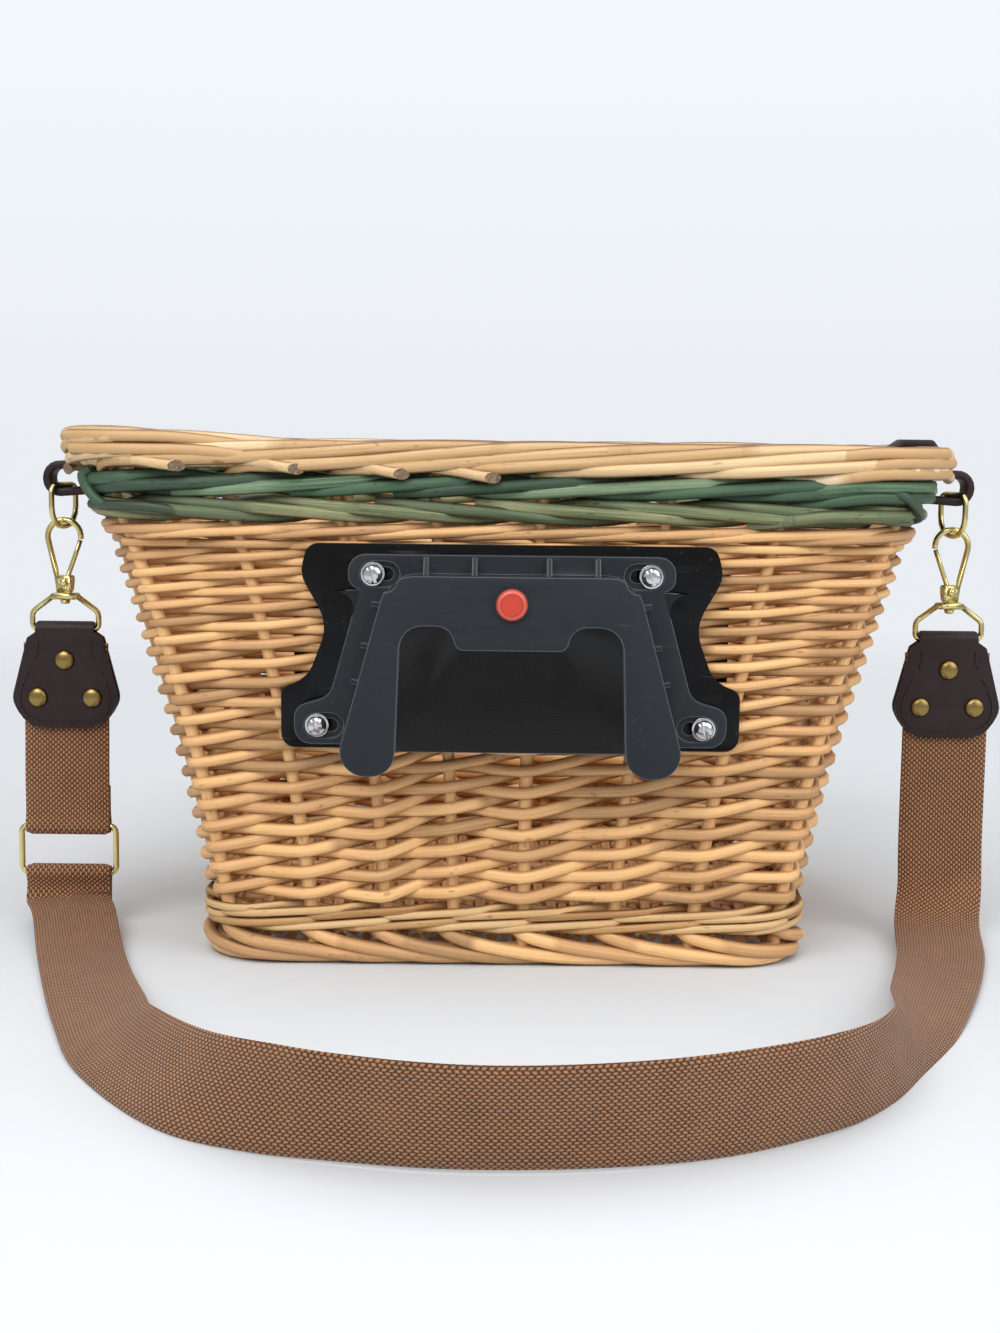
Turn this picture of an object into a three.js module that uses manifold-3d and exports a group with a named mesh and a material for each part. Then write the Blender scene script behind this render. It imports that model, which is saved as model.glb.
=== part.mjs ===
// Woven willow bicycle basket with a quick-release handlebar adapter and a webbing shoulder strap.
// Millimetres, +Z up. +X is right and -Y is towards the rider's handlebar, where the adapter is.
import * as THREE from 'three';
import { mergeVertices } from 'three/addons/utils/BufferGeometryUtils.js';
import Module from 'manifold-3d';

const wasm = await Module();
wasm.setup();

// Clearances
const FIT = 0.3;
const SLIP = 0.15;
const RUNNING = 0.08;

// Woven body: sizes over the outer faces of the wall
const BASE_WIDTH = 261;
const BASE_DEPTH = 216;
const RIM_WIDTH = 371.3;
const RIM_DEPTH = 268;
const WALL_TOP = 213;
const FOOT_FORWARD = 14;
const WALL_THICKNESS = 12;
const WALL_LEVELS = 5;
const LONG_SIDE_STAKES = [-0.78, -0.445, -0.165, 0.135, 0.52, 0.855];
const SHORT_SIDE_STAKES = [-0.8, -0.4, 0, 0.4, 0.8];
const STAKE_SETBACK = 4.2;
const LOW_ROW_PITCH = 4.6;
const HIGH_ROW_PITCH = 3;
const BASE_CORNER = 30;
const RIM_CORNER = 37;
const END_FLARE = 0.5;
const CORNER_STEPS = 4;
const FOOT_HEIGHT = 14;
const FOOT_OVERHANG = 2.6;
const FOOT_WALE_TOP = 27;
const GREEN_UPPER_BAND = 10.4;
const GREEN_LOWER_BAND = 10.6;
const TOP_WALE_BAND = 8.4;
const GREEN_LOWER_TOP = WALL_TOP - GREEN_UPPER_BAND;
const TOP_WALE_TOP = GREEN_LOWER_TOP - GREEN_LOWER_BAND;
const WEAVE_TOP = TOP_WALE_TOP - TOP_WALE_BAND;
const RIM_HEIGHT = 13;
const RIM_OVERHANG = 4.6;
const RIM_INSET = 17;
const GREEN_UPPER_OVERHANG = 2;
const GREEN_LOWER_OVERHANG = 2.6;
const BASE_MAT_LOW = 6.6;
const BASE_MAT_TOP = 15.6;
const BASE_MAT_RELIEF = 2.4;
const BASE_STICKS = 7;
const BASE_ROW_PITCH = 5.4;

// Mounting plate, adapter and their bolts, in the plane of the near wall
const ADAPTER_X = 1.6;
const ADAPTER_Z = 140.2;
const PLATE_THICKNESS = 2;
const PLATE_HALF_HEIGHT = 43.6;
const PLATE_FOOT_HALF = 97.1;
const PLATE_SHOULDER_HALF = 88.1;
const PLATE_WAIST_HALF = 77.7;
const BACKING_WIDTH = 186;
const BACKING_HEIGHT = 84;
const BACKING_THICKNESS = 2;
const FLANGE_THICKNESS = 3.5;
const FRONT_THICKNESS = 4;
const ADAPTER_DEPTH = 20;
const FRONT_TOP = 32.7;
const FRONT_HALF_TOP = 50;
const ARM_END_X = 59.7;
const ARM_END_V = -40.4;
const ARM_END_RADIUS = 11;
const ARM_TAPER = 2.3;
const ARCH_TOP = 12.2;
const LUG_BOTTOM = 2.2;
const LUG_HALF = 24;
const CHANNEL_HALF = 52.5;
const CHANNEL_TOP = 14;
const UPPER_BOLT = [58.1, 31.3];
const LOWER_BOLT = [81.7, -33.3];
const SLOT_TRAVEL = 6;
const RECESS_WIDTH = 11;
const RECESS_DEPTH = 1.6;
const LOBE_RADIUS = 10.5;
const RIB_THICKNESS = 2;
const RIB_HEIGHT = 8;
const TOP_RIBS = [-35.7, -15.5, 15.5, 35.7];
const SIDE_RIBS = [18.8, 1.3, -14.2];
const BUTTON_V = 21.4;
const BUTTON_DIAMETER = 12.8;
const BUTTON_PROUD = 3.6;
const LATCH_HALF = 9;
const LATCH_THICKNESS = 3;
const SPRING_DIAMETER = 8;
const SPRING_WIRE = 0.8;
const SPRING_TURNS = 4;
const BOLT_DIAMETER = 5;
const BOLT_HEAD = 3.6;
const BOLT_HEAD_DIAMETER = 8.4;
const BOLT_SLOT = 1.3;
const BOLT_SLOT_DEPTH = 1.2;
const NUT_FLATS = 8;
const NUT_HEIGHT = 5;
const BOLT_STICKOUT = 2;
const WASHER_DIAMETER = 10.4;
const WASHER_THICKNESS = 1;

// Strap fittings, the same on both sides
const LOOP_Y = -55;
const LEATHER = 2.2;
const LOOP_WIDTH = 13;
const LOOP_REACH = 22.7;
const LOOP_HALF_HEIGHT = 8;
const LOOP_Z = 207.6;
const LOOP_ROUND = 7;
const RING_WIRE = 2.6;
const RING_HALF = 10.5;
const RING_DROP = 19;
const RING_CORNER = 3.6;
const RING_ROUND = 9;
const RING_TURN = 18;
const HOOK_WIRE = 2.7;
const HOOK_RADIUS = 7.6;
const HOOK_LENGTH = 28.6;
const HOOK_BASE_WIDTH = 8.4;
const HOOK_BASE_HEIGHT = 8;
const HOOK_BASE_THICKNESS = 5.4;
const GATE_THICKNESS = 2.2;
const GATE_NOTCH = 10.4;
const PIN_DIAMETER = 2;
const SWIVEL_DIAMETER = 3;
const COLLAR_WIDTH = 12.6;
const COLLAR_HEIGHT = 2.8;
const BOW_HALF = 15.2;
const BOW_WIRE = 2.6;
const BOW_SHOULDER = 7.4;
const BOW_HEIGHT = 15.3;
const WEBBING_WIDTH = 39;
const WEBBING_THICKNESS = 2.3;
const TAB_LENGTH = 48.4;
const TAB_HALF = 24.6;
const TAB_FOOT_HALF = 17.5;
const TAB_SHOULDER_HALF = 17.2;
const TAB_NECK_HALF = 13.3;
const RIVET_DIAMETER = 9.2;
const RIVET_DOME = 1.7;
const RIVET_SHANK = 3;
const TAB_RIVETS = [[0, -17.8], [-12.5, -35.2], [12.5, -35.2]];
const TAB_TONGUE = 8;
const SLIDE_RING_WIDTH = 43.8;
const SLIDE_RING_HEIGHT = 22;
const SLIDE_RING_WIRE = 2.8;
const SLIDE_RING_TOP_Z = 46;
const SEWN_LENGTH = 19;

// Materials
const finish = (color, roughness, metalness = 0) =>
  new THREE.MeshStandardMaterial({ color, roughness, metalness });
const willow = finish(0xd9a468, 0.6);
const peeledWillow = finish(0xe6bc82, 0.55);
const greenWillow = finish(0x3f6f4c, 0.6);
const blackPaint = finish(0x101014, 0.2);
const slatePlastic = finish(0x2f3438, 0.55);
const redPlastic = finish(0xe8452f, 0.4);
const steel = finish(0xd5d6d8, 0.25, 1);
const paleBrass = finish(0xd9c36a, 0.22, 1);
const oldBrass = finish(0x8d7b4c, 0.35, 1);
const darkLeather = finish(0x33222a, 0.5);
const brownWebbing = finish(0x8a5a3c, 0.85);

const root = new THREE.Group();

function addPiece(name, geometry, material, parent = root) {
  const mesh = new THREE.Mesh(geometry, material);
  mesh.name = name;
  parent.add(mesh);
  return mesh;
}

// Closed meshes to solids and back
function toSolid(source) {
  const geometry = source.clone();
  geometry.deleteAttribute('normal');
  geometry.deleteAttribute('uv');
  const merged = mergeVertices(geometry, 1e-4);
  const mesh = new wasm.Mesh({
    numProp: 3,
    vertProperties: new Float32Array(merged.attributes.position.array),
    triVerts: new Uint32Array(merged.index.array),
  });
  return new wasm.Manifold(mesh);
}

function toGeometry(solid) {
  const mesh = solid.getMesh();
  const geometry = new THREE.BufferGeometry();
  geometry.setAttribute('position', new THREE.BufferAttribute(new Float32Array(mesh.vertProperties), 3));
  geometry.setIndex(new THREE.BufferAttribute(new Uint32Array(mesh.triVerts), 1));
  geometry.computeVertexNormals();
  return geometry;
}

function joined(pieces) {
  return pieces.map(toSolid).reduce((sum, piece) => sum.add(piece));
}

function cutFrom(geometry, cutters) {
  const solid = cutters.map(toSolid).reduce((rest, cutter) => rest.subtract(cutter), toSolid(geometry));
  return toGeometry(solid);
}

// Outline of straight runs with rounded corners: each corner is [x, y, radius]
function roundedOutline(corners, stepDegrees = 22.5) {
  const points = [];
  const count = corners.length;
  corners.forEach(([x, y, radius = 0], i) => {
    const corner = new THREE.Vector2(x, y);
    const [px, py] = corners[(i + count - 1) % count];
    const [nx, ny] = corners[(i + 1) % count];
    const back = new THREE.Vector2(px, py).sub(corner).normalize();
    const ahead = new THREE.Vector2(nx, ny).sub(corner).normalize();
    const half = Math.acos(THREE.MathUtils.clamp(back.dot(ahead), -1, 1)) / 2;
    if (radius === 0 || half > 1.56) {
      points.push(corner);
      return;
    }
    const start = corner.clone().addScaledVector(back, radius / Math.tan(half));
    const middle = back.clone().add(ahead).normalize();
    const centre = corner.clone().addScaledVector(middle, radius / Math.sin(half));
    const turn = Math.PI - 2 * half;
    const steps = Math.max(1, Math.ceil(turn / THREE.MathUtils.degToRad(stepDegrees)));
    const side = Math.sign(back.y * ahead.x - back.x * ahead.y);
    for (let k = 0; k <= steps; k += 1) {
      points.push(start.clone().rotateAround(centre, side * turn * k / steps));
    }
  });
  return points;
}

function mirroredOutline(rightSide) {
  const leftSide = rightSide.filter(([x]) => x !== 0).map(([x, y, r]) => [-x, y, r]).reverse();
  return [...rightSide, ...leftSide];
}

function extruded(points, depth, from = 0) {
  const geometry = new THREE.ExtrudeGeometry(new THREE.Shape(points), { depth, bevelEnabled: false });
  return geometry.translate(0, 0, from);
}

function disc(radius, depth, from = 0, x = 0, y = 0, sides = 16) {
  const geometry = new THREE.CylinderGeometry(radius, radius, depth, sides);
  return geometry.rotateX(Math.PI / 2).translate(x, y, from + depth / 2);
}

function slotOutline(width, length, x, y) {
  const w = width / 2;
  const l = length / 2;
  const corners = [[-l, -w, w * 0.99], [l, -w, w * 0.99], [l, w, w * 0.99], [-l, w, w * 0.99]];
  return roundedOutline(corners, 30).map((p) => p.add(new THREE.Vector2(x, y)));
}

// A round wire along a closed outline of the XZ plane
function wireLoop(outline, diameter, sides = 8) {
  const ring = (point, before, after) => {
    const along = after.clone().sub(before).normalize();
    const across = new THREE.Vector3(along.y, 0, -along.x);
    return Array.from({ length: sides }, (_, k) => {
      const angle = 2 * Math.PI * k / sides;
      return new THREE.Vector3(point.x, 0, point.y)
        .addScaledVector(across, Math.cos(angle) * diameter / 2)
        .add(new THREE.Vector3(0, Math.sin(angle) * diameter / 2, 0));
    });
  };
  const n = outline.length;
  const rings = outline.map((p, i) => ring(p, outline[(i + n - 1) % n], outline[(i + 1) % n]));
  return skin(rings, true);
}

// Rings of points joined to a closed skin, capped at both ends unless the rings close on themselves.
// Where turned says so, the fold between a quad's two triangles runs the other way.
function skin(rings, closed, turned = () => false) {
  const sides = rings[0].length;
  const positions = rings.flat().flatMap((p) => [p.x, p.y, p.z]);
  const index = [];
  const last = closed ? rings.length : rings.length - 1;
  for (let i = 0; i < last; i += 1) {
    const a = i * sides;
    const b = ((i + 1) % rings.length) * sides;
    for (let k = 0; k < sides; k += 1) {
      const m = (k + 1) % sides;
      if (turned(i, k)) {
        index.push(a + k, b + k, a + m, a + m, b + k, b + m);
      } else {
        index.push(a + k, b + k, b + m, a + k, b + m, a + m);
      }
    }
  }
  if (!closed) {
    const end = (rings.length - 1) * sides;
    for (let k = 1; k < sides - 1; k += 1) {
      index.push(0, k, k + 1, end, end + k + 1, end + k);
    }
  }
  const geometry = new THREE.BufferGeometry();
  geometry.setAttribute('position', new THREE.Float32BufferAttribute(positions, 3));
  geometry.setIndex(index);
  return facingOut(geometry);
}

function facingOut(geometry) {
  const p = geometry.attributes.position;
  const index = geometry.index.array;
  const a = new THREE.Vector3();
  const b = new THREE.Vector3();
  const c = new THREE.Vector3();
  let volume = 0;
  for (let i = 0; i < index.length; i += 3) {
    a.fromBufferAttribute(p, index[i]);
    b.fromBufferAttribute(p, index[i + 1]);
    c.fromBufferAttribute(p, index[i + 2]);
    volume += a.dot(b.cross(c));
  }
  if (volume < 0) {
    for (let i = 0; i < index.length; i += 3) {
      [index[i + 1], index[i + 2]] = [index[i + 2], index[i + 1]];
    }
  }
  geometry.computeVertexNormals();
  return geometry;
}

// Woven body
const wallX = (z) => {
  const rise = z / WALL_TOP;
  return BASE_WIDTH / 2 + (RIM_WIDTH - BASE_WIDTH) / 2 * rise * (1 - END_FLARE + END_FLARE * rise);
};
const wallY = (z) => BASE_DEPTH / 2 + (RIM_DEPTH - BASE_DEPTH) / 2 * z / WALL_TOP;
// The foot stands nearer the rider than the rim, so the near wall is the steeper one
const wallMiddle = (z) => -FOOT_FORWARD * (1 - z / WALL_TOP);
const wallCorner = (z) => BASE_CORNER + (RIM_CORNER - BASE_CORNER) * z / WALL_TOP;

function wallRing(offset, z) {
  const x = wallX(z) + offset;
  const y = wallY(z) + offset;
  const r = Math.max(wallCorner(z) + offset, 2);
  const centres = [[x - r, y - r], [r - x, y - r], [r - x, r - y], [x - r, r - y]];
  return centres.flatMap(([cx, cy], quarter) => Array.from({ length: CORNER_STEPS + 1 }, (_, k) => {
    const angle = Math.PI / 2 * (quarter + k / CORNER_STEPS);
    return new THREE.Vector3(cx + r * Math.cos(angle), wallMiddle(z) + cy + r * Math.sin(angle), z);
  }));
}

// Points of the wall at its stakes: some on each straight run, as shares of it, and one in each corner
function stakeRing(offsetOf, z) {
  const up = new THREE.Vector3(0, 0, 1);
  const r = wallCorner(z);
  const runs = [[wallX(z), wallY(z), LONG_SIDE_STAKES], [wallY(z), wallX(z), SHORT_SIDE_STAKES]];
  const points = [];
  for (let side = 0; side < 4; side += 1) {
    const [half, depth, shares] = runs[side % 2];
    const out = new THREE.Vector3(0, -1, 0).applyAxisAngle(up, side * Math.PI / 2);
    const along = new THREE.Vector3(1, 0, 0).applyAxisAngle(up, side * Math.PI / 2);
    const place = (reach, run) =>
      new THREE.Vector3(0, wallMiddle(z), z).addScaledVector(out, reach).addScaledVector(along, run);
    shares.forEach((share) => points.push(place(depth + offsetOf(points.length), share * (half - r))));
    const round = (r + offsetOf(points.length)) * Math.SQRT1_2;
    points.push(place(depth - r + round, half - r + round));
  }
  return points;
}

// A band of the wall: its section, [offset from the wall's face, height], goes once round
function wallBand(section) {
  return skin(section.map(([offset, z]) => wallRing(offset, z)), true);
}

// Section of rods laid one above another, rounded on the outer and inner face
function rodSection(low, high, rods, outer, inner) {
  const pitch = (high - low) / rods;
  const bulge = Math.min(pitch / 2, 2.5);
  const outerSide = [];
  const innerSide = [];
  for (let rod = 0; rod < rods; rod += 1) {
    const z = low + rod * pitch;
    outerSide.push([outer - bulge, z + 0.02 * pitch], [outer, z + 0.3 * pitch], [outer, z + 0.7 * pitch]);
    innerSide.push([inner + bulge, z + 0.02 * pitch], [inner, z + 0.5 * pitch]);
  }
  outerSide.push([outer - bulge, high]);
  innerSide.push([inner + bulge, high]);
  return [...outerSide, ...innerSide.reverse()];
}

const GREEN_UPPER_TOP = WALL_TOP - FIT;
const RIM_TOP = WALL_TOP + RIM_HEIGHT;

const boltPlaces = [
  { name: 'upper_left', u: -UPPER_BOLT[0], v: UPPER_BOLT[1] },
  { name: 'upper_right', u: UPPER_BOLT[0], v: UPPER_BOLT[1] },
  { name: 'lower_left', u: -LOWER_BOLT[0], v: LOWER_BOLT[1] },
  { name: 'lower_right', u: LOWER_BOLT[0], v: LOWER_BOLT[1] },
];

// Frame of the adapter: local X is right, local Y is up the leaning wall, local Z points out of it
const adapter = new THREE.Group();
const wallLean = Math.atan(((RIM_DEPTH - BASE_DEPTH) / 2 - FOOT_FORWARD) / WALL_TOP);
adapter.rotation.x = Math.PI / 2 + wallLean;
adapter.position.set(ADAPTER_X, wallMiddle(ADAPTER_Z) - wallY(ADAPTER_Z), ADAPTER_Z);
adapter.updateMatrix();
root.add(adapter);

// Strap fittings: their centre line hangs outside the rim on each side
const loopEnd = wallX(LOOP_Z) + GREEN_UPPER_OVERHANG + LEATHER + LOOP_REACH;
const chainX = loopEnd - LOOP_ROUND - SLIP;
const loopInnerBottom = WEAVE_TOP + SLIP;

// Section of the band's inside: the wall above the weave and the rim border, with clearance
function loopPassage() {
  const at = (offset, z, dz = 0) => [wallX(z) + offset, z + dz];
  return [
    at(-WALL_THICKNESS - FIT, WEAVE_TOP, SLIP),
    at(-RIM_INSET - FIT, WALL_TOP + 4),
    at(-RIM_INSET - FIT, RIM_TOP - 4.5),
    at(-RIM_INSET + 5, RIM_TOP, FIT),
    at(RIM_OVERHANG - 5, RIM_TOP, FIT),
    at(RIM_OVERHANG + FIT, RIM_TOP - 4.5),
    at(RIM_OVERHANG + FIT, WALL_TOP + 4),
    at(GREEN_LOWER_OVERHANG + FIT, GREEN_LOWER_TOP),
    at(GREEN_LOWER_OVERHANG + FIT, TOP_WALE_TOP),
    at(1 + FIT, WEAVE_TOP, SLIP),
  ];
}

function grown(polygon, distance) {
  const n = polygon.length;
  const centre = polygon.reduce((sum, [x, y]) => [sum[0] + x / n, sum[1] + y / n], [0, 0]);
  return polygon.map(([x, y], i) => {
    const [px, py] = polygon[(i + n - 1) % n];
    const [nx, ny] = polygon[(i + 1) % n];
    const corner = new THREE.Vector2(x, y);
    const into = corner.clone().sub(new THREE.Vector2(px, py)).normalize();
    const out = new THREE.Vector2(nx, ny).sub(corner).normalize();
    const outward = new THREE.Vector2(x - centre[0], y - centre[1]);
    const normalOf = (d) => {
      const normal = new THREE.Vector2(d.y, -d.x);
      return normal.dot(outward) < 0 ? normal.negate() : normal;
    };
    const a = normalOf(into);
    const b = normalOf(out);
    const bisector = a.clone().add(b).normalize();
    return corner.addScaledVector(bisector, distance / bisector.dot(a)).toArray();
  });
}

function ellipse(cx, cy, rx, ry, count = 24) {
  return Array.from({ length: count }, (_, k) => {
    const angle = 2 * Math.PI * k / count;
    return new THREE.Vector2(cx + rx * Math.cos(angle), cy + ry * Math.sin(angle));
  });
}

// Extrudes an outline of the XZ plane along Y, centred on y
function acrossY(points, width, y) {
  return extruded(points, width).rotateX(Math.PI / 2).translate(0, y + width / 2, 0);
}

// Rods pass in front of one stake and behind the next, row above row, and the rows close up upwards
function weaveBody() {
  const bottom = FOOT_WALE_TOP + FIT;
  const rings = [stakeRing(() => -STAKE_SETBACK, bottom)];
  let z = bottom + LOW_ROW_PITCH / 2;
  for (let row = 0; z < WEAVE_TOP - HIGH_ROW_PITCH / 2; row += 1) {
    rings.push(stakeRing((stake) => ((stake + row) % 2 === 0 ? 0 : -STAKE_SETBACK), z));
    z += THREE.MathUtils.lerp(
      LOW_ROW_PITCH, HIGH_ROW_PITCH, THREE.MathUtils.smoothstep(z, bottom, WEAVE_TOP));
  }
  rings.push(stakeRing(() => -STAKE_SETBACK / 2, WEAVE_TOP));
  const inside = Array.from({ length: WALL_LEVELS + 1 }, (_, k) =>
    wallRing(-WALL_THICKNESS, THREE.MathUtils.lerp(bottom - FIT, WEAVE_TOP + FIT, k / WALL_LEVELS)));
  const wall = skin(rings, false, (ring, stake) => (ring + stake) % 2 === 1);
  const boltHoles = boltPlaces.map(({ u, v }) =>
    disc(BOLT_DIAMETER / 2 + FIT, 4 * WALL_THICKNESS, -2.5 * WALL_THICKNESS, u, v, 12)
      .applyMatrix4(adapter.matrix));
  const strapNotches = [-1, 1].map((side) => {
    const notch = new THREE.BoxGeometry(4 * WALL_THICKNESS, LOOP_WIDTH + 2 * FIT, 2 * (LEATHER + FIT));
    return notch.translate(side * wallX(WEAVE_TOP), LOOP_Y, WEAVE_TOP);
  });
  return cutFrom(wall, [skin(inside, false), ...boltHoles, ...strapNotches]);
}

// Rods laid across the base's sticks, over one and under the next
function baseMat() {
  const outline = wallRing(-WALL_THICKNESS - FIT, BASE_MAT_LOW).map((p) => new THREE.Vector2(p.x, p.y));
  const mat = extruded(outline, 2 * BASE_MAT_TOP, 0);
  const halfX = wallX(BASE_MAT_LOW);
  const halfY = wallY(BASE_MAT_LOW);
  const middle = wallMiddle(BASE_MAT_LOW);
  const rows = 2 * Math.round(halfX / BASE_ROW_PITCH);
  const rings = Array.from({ length: rows + 1 }, (_, row) => {
    const x = halfX * (2 * row / rows - 1);
    const tops = Array.from({ length: BASE_STICKS }, (__, stick) => new THREE.Vector3(
      x, middle + halfY * (2 * stick / (BASE_STICKS - 1) - 1),
      BASE_MAT_TOP - ((row + stick) % 2) * BASE_MAT_RELIEF));
    const low = [1, -1].map((end) => new THREE.Vector3(x, middle + end * halfY, BASE_MAT_LOW));
    return [...tops, ...low];
  });
  const woven = skin(rings, false, (row, stick) => (row + stick) % 2 === 0);
  return toGeometry(toSolid(mat).intersect(toSolid(woven)));
}

addPiece('base_mat', baseMat(), willow);
addPiece('foot_border', wallBand([
  [FOOT_OVERHANG - 3, 0],
  [FOOT_OVERHANG, 3.5],
  [FOOT_OVERHANG, FOOT_HEIGHT - 4],
  [FOOT_OVERHANG - 4, FOOT_HEIGHT],
  [-WALL_THICKNESS, FOOT_HEIGHT],
  [-WALL_THICKNESS, 3],
  [-WALL_THICKNESS + 3, 0],
]), willow);
addPiece('foot_wale', wallBand(
  rodSection(FOOT_HEIGHT + FIT, FOOT_WALE_TOP, 3, 1.5, -WALL_THICKNESS)), willow);
addPiece('wall_weave', weaveBody(), willow);
addPiece('top_wale', wallBand(rodSection(WEAVE_TOP + FIT, TOP_WALE_TOP, 2, 1, -WALL_THICKNESS)), willow);
addPiece('green_wale_lower', wallBand(
  rodSection(TOP_WALE_TOP + FIT, GREEN_LOWER_TOP, 2, GREEN_LOWER_OVERHANG, -WALL_THICKNESS)), greenWillow);
addPiece('green_wale_upper', wallBand(rodSection(
  GREEN_LOWER_TOP + FIT, GREEN_UPPER_TOP, 2, GREEN_UPPER_OVERHANG, -WALL_THICKNESS)), greenWillow);
addPiece('rim_border', wallBand([
  [RIM_OVERHANG - 4, WALL_TOP],
  [RIM_OVERHANG, WALL_TOP + 4],
  [RIM_OVERHANG, RIM_TOP - 4.5],
  [RIM_OVERHANG - 5, RIM_TOP],
  [-RIM_INSET + 5, RIM_TOP],
  [-RIM_INSET, RIM_TOP - 4.5],
  [-RIM_INSET, WALL_TOP + 4],
  [-RIM_INSET + 4, WALL_TOP],
]), peeledWillow);

// Levels out of the wall's face
const plateBack = FIT;
const plateFront = plateBack + PLATE_THICKNESS;
const flangeBack = plateFront + FIT;
const flangeFront = flangeBack + FLANGE_THICKNESS;
const adapterFront = flangeBack + ADAPTER_DEPTH;
const frontBack = adapterFront - FRONT_THICKNESS;
const recessFloor = flangeFront - RECESS_DEPTH;
const backingFront = -WALL_THICKNESS - FIT;
const backingBack = backingFront - BACKING_THICKNESS;

function plateOutline() {
  const h = PLATE_HALF_HEIGHT;
  const foot = PLATE_FOOT_HALF;
  const shoulder = PLATE_SHOULDER_HALF;
  return roundedOutline(mirroredOutline([
    [foot, -h, 6],
    [foot, -h + 25.5, 5],
    [PLATE_WAIST_HALF + 8, -h + 30, 14],
    [PLATE_WAIST_HALF - 0.6, h - 34, 17],
    [shoulder + 0.8, h - 13, 12],
    [shoulder - 2.6, h, 6],
  ]), 15);
}

function boltHoles(diameter, from, depth) {
  return boltPlaces.map(({ u, v }) => disc(diameter / 2, depth, from, u, v, 16));
}

addPiece('mounting_plate', cutFrom(
  extruded(plateOutline(), PLATE_THICKNESS, plateBack),
  boltHoles(BOLT_DIAMETER + 2 * FIT, plateBack - 1, PLATE_THICKNESS + 2),
), blackPaint, adapter);

const backingCorners = [[-1, -1], [1, -1], [1, 1], [-1, 1]].map(([i, j]) =>
  [i * BACKING_WIDTH / 2, j * BACKING_HEIGHT / 2, 8]);
addPiece('backing_plate', cutFrom(
  extruded(roundedOutline(backingCorners), BACKING_THICKNESS, backingBack),
  boltHoles(BOLT_DIAMETER + 2 * FIT, backingBack - 1, BACKING_THICKNESS + 2),
), blackPaint, adapter);

// Adapter: a flange with four slotted lobes, a U-shaped front with two arms, and a channel
// behind the arms that is open downwards, where the handlebar bracket slides in
function frontOutline() {
  const armLean = Math.atan2(ARM_END_X + ARM_END_RADIUS - FRONT_HALF_TOP - 1, FRONT_TOP - ARM_END_V);
  const tipOuter = ARM_END_X + ARM_END_RADIUS / Math.cos(armLean);
  const tipInner = ARM_END_X - ARM_END_RADIUS - 0.4;
  const tipBottom = ARM_END_V - ARM_END_RADIUS;
  return roundedOutline(mirroredOutline([
    [LUG_HALF - 1, LUG_BOTTOM, 4],
    [LUG_HALF + 0.6, ARCH_TOP, 7.6],
    [tipInner - ARM_TAPER, ARCH_TOP, 10],
    [tipInner, tipBottom, ARM_END_RADIUS - 1],
    [tipOuter + Math.tan(armLean) * ARM_END_RADIUS, tipBottom, ARM_END_RADIUS - 0.4],
    [FRONT_HALF_TOP + 1, FRONT_TOP, 14],
  ]), 15);
}

function wallOutline() {
  const bottom = ARM_END_V - 1;
  return roundedOutline(mirroredOutline([
    [CHANNEL_HALF, bottom, 1.5],
    [ARM_END_X + ARM_END_RADIUS - 2.2, bottom, 2],
    [FRONT_HALF_TOP - 0.2, FRONT_TOP - 1, 13],
  ].reverse()).reverse(), 22.5);
}

function flangeOutline() {
  const [ux, uv] = UPPER_BOLT;
  const [lx, lv] = LOWER_BOLT;
  const r = LOBE_RADIUS;
  return roundedOutline(mirroredOutline([
    [lx - 26, lv - r + 4, 3],
    [lx - 10, lv - r + 2.6, 6],
    [lx + r - 1, lv - r + 2.6, 7],
    [lx + r - 1, lv + r - 2.5, 6],
    [lx - 5.5, lv + r + 2, 8],
    [ux + 5.5, uv - r + 4, 7],
    [ux + r - 0.3, uv - r + 3.5, 5.5],
    [ux + r - 0.3, uv + r - 2.2, 7],
  ]), 22.5);
}

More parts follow.
